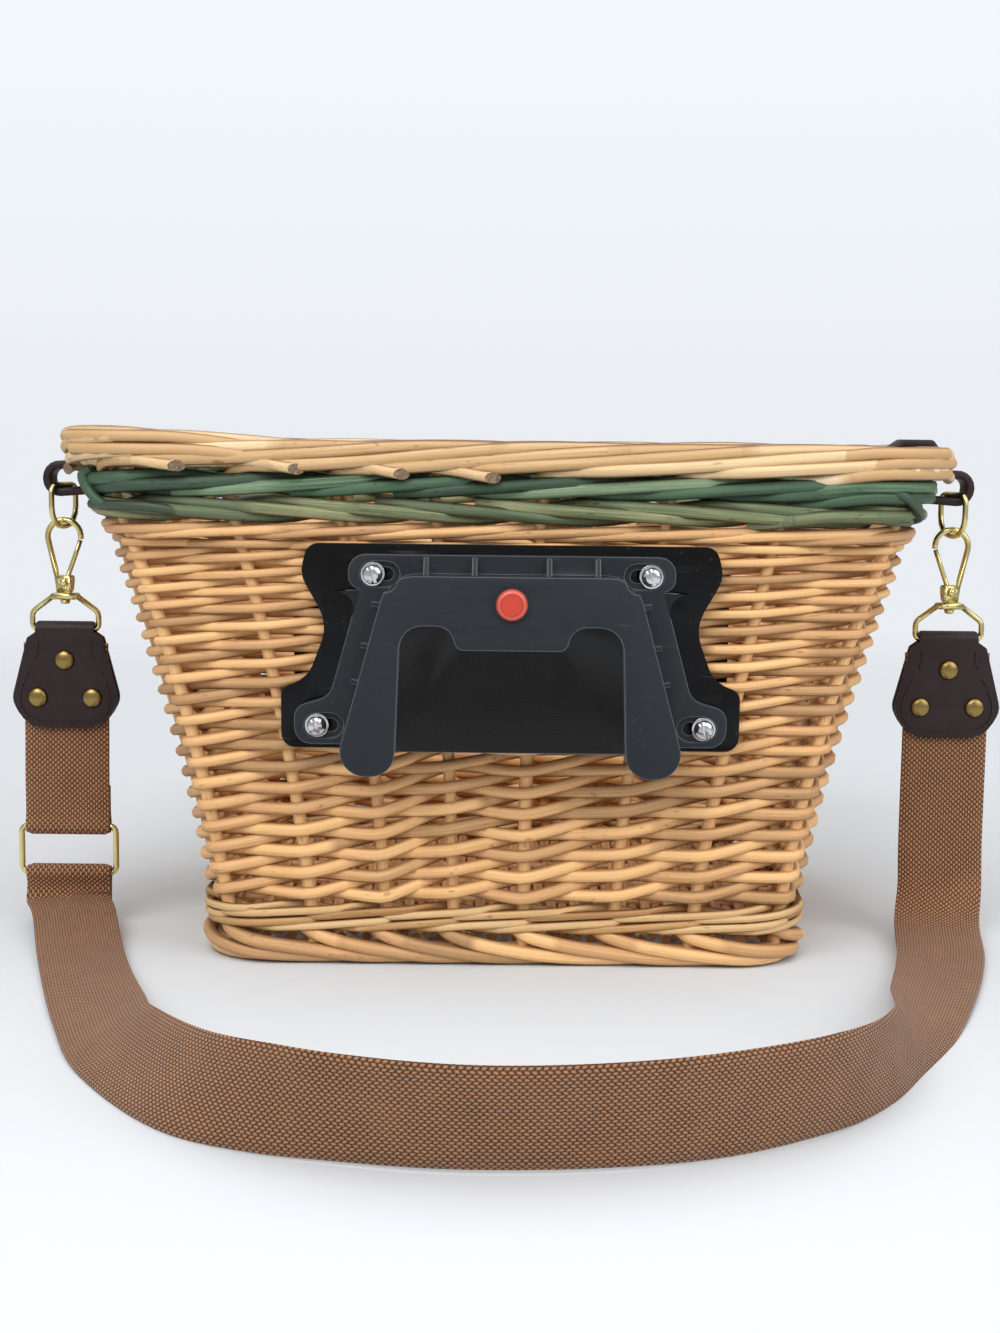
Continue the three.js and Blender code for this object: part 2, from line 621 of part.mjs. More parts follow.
function adapterBody() {
  const flange = extruded(flangeOutline(), FLANGE_THICKNESS, flangeBack);
  const walls = extruded(wallOutline(), frontBack - flangeFront + 2, flangeFront - 1);
  const front = extruded(frontOutline(), FRONT_THICKNESS, frontBack);
  const channelDepth = frontBack - flangeBack + 1;
  const channelBottom = ARM_END_V - 2 * ARM_END_RADIUS;
  const channel = extruded(roundedOutline([
    [-CHANNEL_HALF, channelBottom],
    [CHANNEL_HALF, channelBottom],
    [CHANNEL_HALF, CHANNEL_TOP, 6],
    [-CHANNEL_HALF, CHANNEL_TOP, 6],
  ]), channelDepth, flangeBack - 1);
  const pocketTop = BUTTON_V + BUTTON_DIAMETER / 2 + 2;
  const pocket = new THREE.BoxGeometry(
    2 * (LATCH_HALF + 1), pocketTop - CHANNEL_TOP + 4, frontBack - flangeFront);
  pocket.translate(0, (pocketTop + CHANNEL_TOP - 4) / 2, (frontBack + flangeFront) / 2);
  const buttonBore = disc(
    BUTTON_DIAMETER / 2 + RUNNING, FRONT_THICKNESS + 2, frontBack - 1, 0, BUTTON_V, 24);
  const slots = boltPlaces.flatMap(({ u, v }) => {
    const inward = -Math.sign(u) * SLOT_TRAVEL / 2;
    const slot = slotOutline(BOLT_DIAMETER + 2 * FIT, BOLT_DIAMETER + 2 * FIT + SLOT_TRAVEL, u + inward, v);
    const recess = slotOutline(RECESS_WIDTH, RECESS_WIDTH + SLOT_TRAVEL, u + inward, v);
    return [extruded(slot, ADAPTER_DEPTH, flangeBack - 1), extruded(recess, ADAPTER_DEPTH, recessFloor)];
  });
  const ribs = [];
  TOP_RIBS.forEach((u) => {
    const length = UPPER_BOLT[1] + LOBE_RADIUS - 2 - FRONT_TOP;
    const rib = extruded([[0, 0], [length, 0], [length, 2.5], [0, RIB_HEIGHT]]
      .map(([x, y]) => new THREE.Vector2(x - 1.2, y)), RIB_THICKNESS);
    rib.rotateX(Math.PI / 2).rotateZ(Math.PI / 2);
    ribs.push(rib.translate(u - RIB_THICKNESS / 2, FRONT_TOP, flangeFront - 0.2));
  });
  const sideSlope = (ARM_END_X + ARM_END_RADIUS - 2 - FRONT_HALF_TOP) / (FRONT_TOP - ARM_END_V);
  SIDE_RIBS.forEach((v) => [-1, 1].forEach((side) => {
    const u = FRONT_HALF_TOP - 1 + (FRONT_TOP - v) * sideSlope;
    const rib = extruded([[0, 0], [7.2, 0], [5.2, 2.2], [0, RIB_HEIGHT]]
      .map(([x, y]) => new THREE.Vector2(x - 1, y)), RIB_THICKNESS);
    rib.rotateX(Math.PI / 2);
    if (side < 0) rib.rotateZ(Math.PI);
    ribs.push(rib.translate(side * u, v + side * RIB_THICKNESS / 2, flangeFront - 0.2));
  }));
  const body = joined([flange, walls, front, ...ribs]);
  const cutters = [channel, pocket, buttonBore, ...slots];
  return toGeometry(cutters.map(toSolid).reduce((rest, cutter) => rest.subtract(cutter), body));
}
addPiece('adapter_body', adapterBody(), slatePlastic, adapter);

const stemRadius = 2.6;
const latchFront = frontBack - 1;
const latchBack = latchFront - LATCH_THICKNESS;
const buttonProfile = [
  [0, latchBack],
  [stemRadius, latchBack],
  [stemRadius, latchFront + SLIP],
  [BUTTON_DIAMETER / 2, latchFront + SLIP],
  [BUTTON_DIAMETER / 2, adapterFront + BUTTON_PROUD - 1.4],
  [BUTTON_DIAMETER / 2 - 0.5, adapterFront + BUTTON_PROUD - 0.5],
  [BUTTON_DIAMETER / 2 - 1.5, adapterFront + BUTTON_PROUD],
  [0, adapterFront + BUTTON_PROUD - 0.3],
].map(([r, w]) => new THREE.Vector2(r, w));
addPiece('release_button',
  new THREE.LatheGeometry(buttonProfile, 24).rotateX(Math.PI / 2).translate(0, BUTTON_V, 0),
  redPlastic, adapter);

const latchCorners = [
  [-LATCH_HALF, CHANNEL_TOP - 9, 1.5],
  [LATCH_HALF, CHANNEL_TOP - 9, 1.5],
  [LATCH_HALF, BUTTON_V + BUTTON_DIAMETER / 2 + 1, 1.5],
  [-LATCH_HALF, BUTTON_V + BUTTON_DIAMETER / 2 + 1, 1.5],
];
addPiece('latch_tongue', cutFrom(
  extruded(roundedOutline(latchCorners, 45), LATCH_THICKNESS, latchBack),
  [disc(stemRadius + SLIP, LATCH_THICKNESS + 2, latchBack - 1, 0, BUTTON_V)],
), slatePlastic, adapter);

class Helix extends THREE.Curve {
  constructor(radius, length, turns) {
    super();
    Object.assign(this, { radius, length, turns });
  }

  getPoint(t) {
    const angle = 2 * Math.PI * this.turns * t;
    return new THREE.Vector3(
      this.radius * Math.cos(angle), this.radius * Math.sin(angle), this.length * t);
  }
}

const springRoom = latchBack - flangeFront - 2 * SLIP;
const springPath = new Helix((SPRING_DIAMETER - SPRING_WIRE) / 2, springRoom - SPRING_WIRE, SPRING_TURNS);
const springSection = new THREE.Shape(ellipse(0, 0, SPRING_WIRE / 2, SPRING_WIRE / 2, 5));
addPiece('button_spring', new THREE.ExtrudeGeometry(springSection, {
  steps: 8 * SPRING_TURNS,
  extrudePath: springPath,
  bevelEnabled: false,
}).translate(0, BUTTON_V, flangeFront + SLIP + SPRING_WIRE / 2), steel, adapter);

// Dome-headed bolts on washers in the lobes, with nuts against the backing plate inside
const washerBack = recessFloor + SLIP;
const headBack = washerBack + WASHER_THICKNESS + SLIP;
const nutFront = backingBack - SLIP;
const boltEnd = nutFront - NUT_HEIGHT - BOLT_STICKOUT;
const hexagon = (flats) => Array.from({ length: 6 }, (_, k) =>
  new THREE.Vector2(flats / Math.sqrt(3), 0).rotateAround(new THREE.Vector2(), Math.PI / 3 * k));

function domedBolt() {
  const r = BOLT_HEAD_DIAMETER / 2;
  const profile = [
    [0, boltEnd],
    [BOLT_DIAMETER / 2 - 0.8, boltEnd],
    [BOLT_DIAMETER / 2, boltEnd + 0.8],
    [BOLT_DIAMETER / 2, headBack],
    [r, headBack],
    [r, headBack + BOLT_HEAD * 0.35],
    [r * 0.88, headBack + BOLT_HEAD * 0.68],
    [r * 0.6, headBack + BOLT_HEAD * 0.92],
    [0, headBack + BOLT_HEAD],
  ].map(([radius, w]) => new THREE.Vector2(radius, w));
  const slot = new THREE.BoxGeometry(BOLT_SLOT, 2 * r + 2, BOLT_SLOT_DEPTH * 2);
  slot.rotateZ(0.4).translate(0, 0, headBack + BOLT_HEAD);
  return cutFrom(new THREE.LatheGeometry(profile, 16).rotateX(Math.PI / 2), [slot]);
}

boltPlaces.forEach(({ name, u, v }) => {
  addPiece(`bolt_${name}`, domedBolt().translate(u, v, 0), steel, adapter);
  const bore = BOLT_DIAMETER / 2 + SLIP;
  const washer = cutFrom(disc(WASHER_DIAMETER / 2, WASHER_THICKNESS, washerBack),
    [disc(bore, WASHER_THICKNESS + 2, washerBack - 1)]);
  addPiece(`washer_${name}`, washer.translate(u, v, 0), steel, adapter);
  const nut = cutFrom(extruded(hexagon(NUT_FLATS), NUT_HEIGHT, nutFront - NUT_HEIGHT),
    [disc(bore, NUT_HEIGHT + 2, nutFront - NUT_HEIGHT - 1)]);
  addPiece(`nut_${name}`, nut.translate(u, v, 0), steel, adapter);
});

// Strap fittings of the right side; the left side's are their mirror image
const ringTopZ = LOOP_Z - LOOP_HALF_HEIGHT + LEATHER + RING_WIRE / 2 + 1.4;
const ringBottomZ = ringTopZ - RING_DROP;
const hookTopZ = ringBottomZ + RING_WIRE / 2 + HOOK_WIRE / 2 + FIT;
const pinZ = hookTopZ - HOOK_LENGTH;
const hookBaseBottom = pinZ - HOOK_BASE_HEIGHT * 0.6;
const collarTop = hookBaseBottom - SLIP;
const collarBottom = collarTop - COLLAR_HEIGHT;
const bowBarZ = collarTop - COLLAR_HEIGHT / 2 - BOW_HEIGHT;
const tabTop = bowBarZ + BOW_WIRE / 2 + SLIP * 2 + LEATHER;
const tabBottom = tabTop - TAB_LENGTH;
const layerInner = BOW_WIRE / 2 + 2 * SLIP;
const layerOuter = layerInner + LEATHER;

// The band goes round the rim and through the wall; its outer side is drawn out to hold the ring
function leatherLoop() {
  const passage = loopPassage();
  const band = grown(passage, LEATHER).map(([x, z]) => [x, z, 2]);
  const faceX = wallX(LOOP_Z) + GREEN_UPPER_OVERHANG + LEATHER;
  const earOutline = (inset, round, start) => roundedOutline([
    [start, LOOP_Z - LOOP_HALF_HEIGHT + 2 + inset],
    [loopEnd - inset, LOOP_Z - LOOP_HALF_HEIGHT + inset, round],
    [loopEnd - inset, LOOP_Z + LOOP_HALF_HEIGHT - inset, round],
    [start, LOOP_Z + LOOP_HALF_HEIGHT - 2.6 - inset],
  ]);
  const ear = acrossY(earOutline(0, LOOP_ROUND, faceX - LEATHER), LOOP_WIDTH, LOOP_Y);
  const earBore = acrossY(earOutline(LEATHER, LOOP_ROUND - LEATHER, faceX + 1), LOOP_WIDTH + 2, LOOP_Y);
  const rimBore = acrossY(passage.map(([x, z]) => new THREE.Vector2(x, z)), LOOP_WIDTH + 2, LOOP_Y);
  const outside = toSolid(acrossY(roundedOutline(band, 30), LOOP_WIDTH, LOOP_Y)).add(toSolid(ear));
  return toGeometry(outside.subtract(toSolid(rimBore)).subtract(toSolid(earBore)));
}

function ring() {
  const w = RING_HALF;
  const outline = roundedOutline([
    [-w, ringBottomZ, RING_ROUND],
    [w, ringBottomZ, RING_ROUND],
    [w, ringTopZ, RING_CORNER],
    [-w, ringTopZ, RING_CORNER],
  ]);
  return wireLoop(outline, RING_WIRE).rotateZ(Math.PI / 2 + THREE.MathUtils.degToRad(RING_TURN))
    .translate(chainX, LOOP_Y, 0);
}

function wireAlong(points, diameter, sides = 8) {
  const rings = points.map((p, i) => {
    const before = points[Math.max(i - 1, 0)];
    const after = points[Math.min(i + 1, points.length - 1)];
    const along = after.clone().sub(before).normalize();
    const across = new THREE.Vector2(along.y, -along.x);
    return Array.from({ length: sides }, (_, k) => {
      const angle = 2 * Math.PI * k / sides;
      const reach = Math.cos(angle) * diameter / 2;
      return new THREE.Vector3(
        p.x + across.x * reach, Math.sin(angle) * diameter / 2, p.y + across.y * reach);
    });
  });
  return skin(rings, false);
}

// Pear-shaped hook: base block, outer limb, round top and a nose on the inner side
const hookCentreZ = hookTopZ - HOOK_RADIUS;
const hookFoot = new THREE.Vector2(HOOK_BASE_WIDTH / 2 - HOOK_WIRE / 2 + 0.2, pinZ);
const noseAngle = THREE.MathUtils.degToRad(180 + 8);
const nosePoint = new THREE.Vector2(0, hookCentreZ)
  .add(new THREE.Vector2(Math.cos(noseAngle), Math.sin(noseAngle)).multiplyScalar(HOOK_RADIUS));

function snapHook() {
  const points = [hookFoot.clone()];
  for (let angle = -8; angle <= 188; angle += 14) {
    const a = THREE.MathUtils.degToRad(angle);
    points.push(new THREE.Vector2(HOOK_RADIUS * Math.cos(a), hookCentreZ + HOOK_RADIUS * Math.sin(a)));
  }
  const limb = wireAlong(points, HOOK_WIRE);
  const half = HOOK_BASE_WIDTH / 2;
  const baseTop = hookBaseBottom + HOOK_BASE_HEIGHT;
  const base = acrossY(roundedOutline([
    [-half + 0.8, hookBaseBottom, 1],
    [half - 0.8, hookBaseBottom, 1],
    [half, baseTop, 1.5],
    [-half, baseTop, 1.5],
  ], 45), HOOK_BASE_THICKNESS, 0);
  const postBottom = collarBottom - SLIP - 2.2;
  const post = [
    [0, hookBaseBottom + 1],
    [SWIVEL_DIAMETER / 2, hookBaseBottom + 1],
    [SWIVEL_DIAMETER / 2, collarBottom - SLIP],
    [SWIVEL_DIAMETER / 2 + 0.9, collarBottom - SLIP],
    [SWIVEL_DIAMETER / 2 + 0.6, postBottom + 0.4],
    [0, postBottom],
  ].map(([r, z]) => new THREE.Vector2(r, z)).reverse();
  const swivelPost = new THREE.LatheGeometry(post, 16).rotateX(Math.PI / 2);
  const fork = new THREE.BoxGeometry(
    HOOK_BASE_WIDTH + 2, GATE_THICKNESS + 2 * SLIP, HOOK_BASE_HEIGHT).translate(-2.2, 0, pinZ + 1.1);
  const pinHole = new THREE.CylinderGeometry(PIN_DIAMETER / 2 + RUNNING, PIN_DIAMETER / 2 + RUNNING, 10, 16);
  const body = toSolid(limb).add(toSolid(base)).add(toSolid(swivelPost));
  const cut = [fork, pinHole.translate(0, 0, pinZ)];
  return toGeometry(cut.map(toSolid).reduce((rest, cutter) => rest.subtract(cutter), body));
}

function gate() {
  const top = nosePoint.clone().add(new THREE.Vector2(0.2, -2 * FIT));
  const foot = new THREE.Vector2(-0.4, pinZ);
  const points = Array.from({ length: 4 }, (_, k) => foot.clone().lerp(top, k / 3));
  const wire = wireAlong(points, GATE_THICKNESS);
  const knuckle = acrossY(ellipse(0, pinZ, 2.3, 2.3, 16), GATE_THICKNESS, 0);
  const hole = new THREE.CylinderGeometry(PIN_DIAMETER / 2 + RUNNING, PIN_DIAMETER / 2 + RUNNING, 10, 16);
  return toGeometry(toSolid(wire).add(toSolid(knuckle)).subtract(toSolid(hole.translate(0, 0, pinZ))));
}

function gatePin() {
  const half = HOOK_BASE_THICKNESS / 2 + SLIP;
  const profile = [
    [0, -half - 0.9],
    [1.3, -half - 0.7],
    [1.9, -half],
    [PIN_DIAMETER / 2, -half],
    [PIN_DIAMETER / 2, half],
    [1.6, half],
    [1.2, half + 0.6],
    [0, half + 0.7],
  ].map(([r, y]) => new THREE.Vector2(r, y));
  return new THREE.LatheGeometry(profile, 12).translate(0, 0, pinZ);
}

function strapBow() {
  const topZ = collarTop - COLLAR_HEIGHT / 2;
  const loop = wireLoop(roundedOutline([
    [-BOW_HALF, bowBarZ, 2.4],
    [BOW_HALF, bowBarZ, 2.4],
    [BOW_HALF, topZ - BOW_SHOULDER, 4],
    [COLLAR_WIDTH / 2 - 1, topZ, 2],
    [-COLLAR_WIDTH / 2 + 1, topZ, 2],
    [-BOW_HALF, topZ - BOW_SHOULDER, 4],
  ]), BOW_WIRE);
  const collar = acrossY(roundedOutline([
    [-COLLAR_WIDTH / 2, collarBottom, 1],
    [COLLAR_WIDTH / 2, collarBottom, 1],
    [COLLAR_WIDTH / 2, collarTop, 1],
    [-COLLAR_WIDTH / 2, collarTop, 1],
  ], 45), 2 * SWIVEL_DIAMETER, 0);
  const boreRadius = SWIVEL_DIAMETER / 2 + RUNNING;
  const hole = new THREE.CylinderGeometry(boreRadius, boreRadius, 20, 16);
  hole.rotateX(Math.PI / 2).translate(0, 0, (collarTop + collarBottom) / 2);
  return toGeometry(toSolid(loop).add(toSolid(collar)).subtract(toSolid(hole)));
}

// Folded leather tab: a bell-shaped outline, folded over the bow's bar into two layers
function leatherTab() {
  const outline = roundedOutline(mirroredOutline([
    [TAB_FOOT_HALF, tabBottom - 1, 14],
    [TAB_HALF, tabBottom + 12, 9],
    [TAB_SHOULDER_HALF, bowBarZ - BOW_WIRE / 2 - 2.5, 2],
    [TAB_NECK_HALF, bowBarZ - BOW_WIRE / 2 + 0.2, 1],
    [TAB_NECK_HALF, tabTop, 1.5],
  ]), 18);
  const face = acrossY(outline, 3 * layerOuter, 0);
  const fold = new THREE.Shape();
  fold.moveTo(-layerOuter, tabBottom - 1);
  fold.lineTo(-layerOuter, bowBarZ);
  fold.absarc(0, bowBarZ, layerOuter, Math.PI, 0, true);
  fold.lineTo(layerOuter, tabBottom - 1);
  fold.lineTo(layerInner, tabBottom - 1);
  fold.lineTo(layerInner, bowBarZ);
  fold.absarc(0, bowBarZ, layerInner, 0, Math.PI, false);
  fold.lineTo(-layerInner, tabBottom - 1);
  const depth = 3 * TAB_HALF;
  const folded = new THREE.ExtrudeGeometry(fold, { depth, bevelEnabled: false, curveSegments: 6 });
  folded.rotateX(Math.PI / 2).rotateZ(Math.PI / 2).translate(-1.5 * TAB_HALF, 0, 0);
  const holes = TAB_RIVETS.map(([x, z]) => {
    const hole = new THREE.CylinderGeometry(RIVET_SHANK / 2 + SLIP, RIVET_SHANK / 2 + SLIP, 30, 12);
    return hole.translate(x, 0, tabTop + z);
  });
  const tab = toSolid(face).intersect(toSolid(folded));
  return toGeometry(holes.map(toSolid).reduce((rest, hole) => rest.subtract(hole), tab));
}

function capRivet(x, z, halfGrip, diameter) {
  const r = diameter / 2;
  const profile = [
    [0, -halfGrip - RIVET_DOME],
    [r * 0.55, -halfGrip - RIVET_DOME * 0.85],
    [r * 0.88, -halfGrip - RIVET_DOME * 0.5],
    [r, -halfGrip],
    [RIVET_SHANK / 2, -halfGrip],
    [RIVET_SHANK / 2, halfGrip],
    [r * 0.85, halfGrip],
    [r * 0.75, halfGrip + 0.7],
    [0, halfGrip + 0.8],
  ].map(([radius, y]) => new THREE.Vector2(radius, y));
  return new THREE.LatheGeometry(profile, 14).translate(x, 0, z);
}

function webbingHoles(stationX) {
  return TAB_RIVETS.map(([x, z]) => {
    const hole = new THREE.CylinderGeometry(RIVET_SHANK / 2 + FIT, RIVET_SHANK / 2 + FIT, 30, 12);
    return hole.translate(stationX + x, LOOP_Y, tabTop + z);
  });
}

// Webbing: stations of an outer and an inner edge point, joined to a flat strip.
// At each station the strip's thickness stands square to its width and its run.
function webbingStrip(stations, subdivisions) {
  const edgeCurve = (side) => new THREE.CatmullRomCurve3(
    stations.map((station) => new THREE.Vector3(...station[side])), false, 'centripetal');
  const outer = edgeCurve(0);
  const inner = edgeCurve(1);
  const spans = stations.length - 1;
  const at = (curve, i, k) => curve.getPoint((i + k / subdivisions[i]) / spans);
  const rows = [];
  for (let i = 0; i < spans; i += 1) {
    for (let k = 0; k < subdivisions[i]; k += 1) rows.push([at(outer, i, k), at(inner, i, k)]);
  }
  rows.push([at(outer, spans, 0), at(inner, spans, 0)]);
  const middles = rows.map(([a, b]) => a.clone().add(b).multiplyScalar(0.5));
  const rings = rows.map(([a, b], i) => {
    const across = b.clone().sub(a).normalize();
    const ahead = middles[Math.min(i + 1, rows.length - 1)];
    const along = ahead.clone().sub(middles[Math.max(i - 1, 0)]).normalize();
    const normal = new THREE.Vector3().crossVectors(along, across).normalize();
    const half = WEBBING_THICKNESS / 2;
    const corners = [[a, half], [b, half], [b, -half], [a, -half]];
    return corners.map(([p, t]) => p.clone().addScaledVector(normal, t));
  });
  return skin(rings, false);
}

const halfWeb = WEBBING_WIDTH / 2;
const webbingTop = tabTop - LEATHER - TAB_TONGUE;
const slideTopZ = SLIDE_RING_TOP_Z;
const slideBottomZ = slideTopZ - SLIDE_RING_HEIGHT;
const wrap = SLIDE_RING_WIRE / 2 + 2 * SLIP + WEBBING_THICKNESS / 2;
const pairOffset = WEBBING_THICKNESS / 2 + SLIP / 2;

// Level station of hanging webbing on one side of the basket
function level(side, y, z) {
  return [[side * (chainX + halfWeb), LOOP_Y + y, z], [side * (chainX - halfWeb), LOOP_Y + y, z]];
}

function foldRound(z, upward, fromAngle, toAngle, steps) {
  const stations = [];
  for (let k = 0; k <= steps; k += 1) {
    const a = THREE.MathUtils.degToRad(fromAngle + (toAngle - fromAngle) * k / steps);
    stations.push([wrap * Math.cos(a), z + upward * wrap * Math.sin(a)]);
  }
  return stations;
}

function shortWebbing() {
  const places = [
    [0, webbingTop],
    [0, tabBottom - 2],
    [-pairOffset, slideTopZ + SEWN_LENGTH + 4],
    [-pairOffset, slideTopZ + 6],
    ...foldRound(slideTopZ, -1, 180, 0, 6),
    [pairOffset, slideTopZ + 6],
    [pairOffset, slideTopZ + SEWN_LENGTH],
  ];
  return cutFrom(
    webbingStrip(places.map(([y, z]) => level(-1, y, z)), places.map(() => 1)),
    webbingHoles(-chainX),
  );
}

// The long webbing: sewn round the slide ring's lower bar, down to the floor, round in front of
// the basket standing on its outer edge, and up into the right tab. The points on the floor are
// chosen by hand: outer (lower) edge, then inner (upper) edge.
const FLOOR_ROUTE = [
  [[-217.5, -68, 9.5], [-178, -74, 10.5]],
  [[-203, -118, 2.6], [-163.5, -126, 4]],
  [[-173.5, -214, 1.6], [-137, -224, 14.4]],
  [[-152, -269, 1.6], [-122.6, -280, 25.8]],
  [[-113.6, -325, 1.6], [-92.5, -333, 34.4]],
  [[-83, -344.5, 1.6], [-69.5, -352.5, 38]],
  [[-56.7, -353, 1.6], [-49.2, -363, 39.4]],
  [[-28, -359, 1.6], [-24.5, -370, 39.8]],
  [[-3, -360.5, 1.6], [-3, -372, 39.8]],
  [[28.3, -358, 1.6], [24.6, -369.5, 39.7]],
  [[60.4, -350.5, 1.6], [53.4, -362, 39.2]],
  [[87.7, -337, 1.6], [77.6, -350, 37.8]],
  [[114, -317, 1.6], [103.8, -333, 36.2]],
  [[136, -289, 1.6], [121.6, -311, 32]],
  [[155, -251, 1.6], [137, -278, 26]],
  [[180.5, -196, 2.6], [150, -218, 17]],
  [[211, -112, 3.4], [172.5, -117, 5.5]],
  [[219.5, -68, 9.5], [179.8, -69, 10]],
];

function shoulderStrap() {
  const leftFold = [
    [pairOffset, slideBottomZ - 13],
    [pairOffset, slideBottomZ - 6],
    ...foldRound(slideBottomZ, 1, 0, 180, 6),
    [-pairOffset, slideBottomZ - 6],
    [-pairOffset - 1.5, slideBottomZ - 11],
  ].map(([y, z]) => level(-1, y, z));
  const rightEnd = [
    [-2, 22],
    [0, 40],
    [0, tabBottom - 2],
    [0, webbingTop],
  ].map(([y, z]) => level(1, y, z));
  const floor = FLOOR_ROUTE.map(([low, high]) => {
    const edge = new THREE.Vector3(...low);
    const across = new THREE.Vector3(...high).sub(edge).setLength(WEBBING_WIDTH);
    return [low, edge.add(across).toArray()];
  });
  const stations = [...leftFold, ...floor, ...rightEnd];
  const onFloor = (i) => i >= leftFold.length && i < leftFold.length + floor.length - 1;
  const counts = stations.map((_, i) => (onFloor(i) ? 3 : 1));
  return cutFrom(webbingStrip(stations, counts), webbingHoles(chainX));
}

function slideRing() {
  const w = SLIDE_RING_WIDTH / 2;
  const outline = roundedOutline([
    [-w, slideBottomZ, 3],
    [w, slideBottomZ, 3],
    [w, slideTopZ, 3],
    [-w, slideTopZ, 3],
  ]);
  return wireLoop(outline, SLIDE_RING_WIRE);
}

const fittings = {
  leather_loop: [leatherLoop(), darkLeather, false],
  ring: [ring(), paleBrass, false],
  snap_hook: [snapHook(), paleBrass, true],
  hook_gate: [gate(), paleBrass, true],
  gate_pin: [gatePin(), paleBrass, true],
  strap_bow: [strapBow(), paleBrass, true],
  leather_tab: [leatherTab(), darkLeather, true],
};

function mirrored(geometry) {
  const copy = geometry.clone().scale(-1, 1, 1);
  const index = copy.index ? copy.index : mergeVertices(copy).index;
  const result = copy.index ? copy : mergeVertices(copy);
  result.setIndex(new THREE.BufferAttribute(new Uint32Array(index.array), 1));
  return facingOut(result);
}

[['left', -1], ['right', 1]].forEach(([side, sign]) => {
  Object.entries(fittings).forEach(([name, [geometry, material, hangs]]) => {
    const placed = hangs ? geometry.clone().translate(chainX, LOOP_Y, 0) : geometry;
    addPiece(`${side}_${name}`, sign > 0 ? placed : mirrored(placed), material);
  });
  TAB_RIVETS.forEach(([x, z], i) => {
    const rivet = capRivet(x, tabTop + z, layerOuter + SLIP, RIVET_DIAMETER);
    addPiece(`${side}_tab_rivet_${i + 1}`, rivet.translate(sign * chainX, LOOP_Y, 0), oldBrass);
  });
});

addPiece('short_webbing', shortWebbing(), brownWebbing);
addPiece('slide_ring', slideRing().translate(-chainX, LOOP_Y, 0), paleBrass);
addPiece('shoulder_strap', shoulderStrap(), brownWebbing);

// The origin lies on the ground under the middle of the basket with its adapter
const adapterReach = (adapterFront + BUTTON_PROUD) * Math.cos(wallLean) + BUTTON_V * Math.sin(wallLean)
  - adapter.position.y;
const rimMiddleZ = WALL_TOP + RIM_HEIGHT / 2;
root.position.y = (adapterReach - wallMiddle(rimMiddleZ) - wallY(rimMiddleZ) - RIM_OVERHANG) / 2;

export default root;
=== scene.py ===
"""Woven willow bicycle basket with a quick-release adapter and a webbing shoulder strap.

The wall is laid rod by rod over the solid frame, in metres, with +Z up and the
adapter on the -Y side.
"""

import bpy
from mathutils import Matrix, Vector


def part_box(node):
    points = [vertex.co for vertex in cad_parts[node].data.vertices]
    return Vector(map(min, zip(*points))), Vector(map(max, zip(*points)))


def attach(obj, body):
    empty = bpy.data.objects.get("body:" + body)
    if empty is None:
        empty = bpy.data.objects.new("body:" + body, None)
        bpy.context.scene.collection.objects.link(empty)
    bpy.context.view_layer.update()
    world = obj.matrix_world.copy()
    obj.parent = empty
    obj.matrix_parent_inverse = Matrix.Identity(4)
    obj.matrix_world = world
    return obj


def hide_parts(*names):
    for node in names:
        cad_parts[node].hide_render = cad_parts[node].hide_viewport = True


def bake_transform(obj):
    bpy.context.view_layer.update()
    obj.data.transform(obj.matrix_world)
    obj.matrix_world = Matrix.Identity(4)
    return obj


bl_info = {
    "name": "Wicker Bicycle Basket",
    "version": (1, 0, 0),
    "blender": (4, 5, 0),
    "location": "View3D > Sidebar > Basket",
    "description": "Weaves the basket and finishes its adapter, fittings and strap",
    "category": "Object",
}

import math
import random

import bpy
from mathutils import Matrix, Vector

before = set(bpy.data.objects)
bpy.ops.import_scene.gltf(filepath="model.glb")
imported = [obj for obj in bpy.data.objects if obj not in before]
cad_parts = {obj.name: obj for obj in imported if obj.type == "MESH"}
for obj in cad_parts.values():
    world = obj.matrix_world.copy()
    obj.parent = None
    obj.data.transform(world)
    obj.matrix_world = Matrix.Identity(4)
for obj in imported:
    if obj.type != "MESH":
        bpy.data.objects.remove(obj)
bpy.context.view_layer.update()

MM = 0.001
BLACK = (0, 0, 0, 1)
WHITE = (1, 1, 1, 1)

# The body's middle lies this far behind the origin, as in the solids
BODY_Y = 8.72

# Section of the wall over its outer faces, in millimetres
BASE_WIDTH = 261
BASE_DEPTH = 216
RIM_WIDTH = 371.3
RIM_DEPTH = 268
WALL_TOP = 213
END_FLARE = 0.5
FOOT_FORWARD = 14
BASE_CORNER = 30
RIM_CORNER = 37
WALL_FOOT = 27.3
WEAVE_TOP = 183.6
WALL_MIDDLE = -6.4

# Stakes of each side, as shares of the straight run between two corners
LONG_SIDE_STAKES = (-0.813, -0.5, -0.215, 0.085, 0.465, 0.805)
SHORT_SIDE_STAKES = (-0.8, -0.4, 0.0, 0.4, 0.8)
STAKES = 2 * (len(LONG_SIDE_STAKES) + len(SHORT_SIDE_STAKES)) + 4
SHORT_SIDES = (*range(7, 12), *range(20, 25))
STAKE_FOOT = 6.0
STAKE_TOP = 208
STAKE_STEPS = 27

# Place and lower end of three short stakes beside the others
EXTRA_STAKES = ((1.12, 150.0), (14.1, 140.0), (20.9, 120.0))

# Weaving: the heights of its rows, those between which it changes from coarse to fine, how far a rod
# swings out in front of a stake and in behind it, and the points along a rod from stake to stake
LOWEST_ROW = WALL_FOOT + 2.6
HIGHEST_ROW = WEAVE_TOP - 1.4
HIGHEST_ROD = WEAVE_TOP - 1.0
COARSE_TOP = 60
FINE_FOOT = 170
WEAVE_SWING = 4.7
WEAVE_STEPS = 8

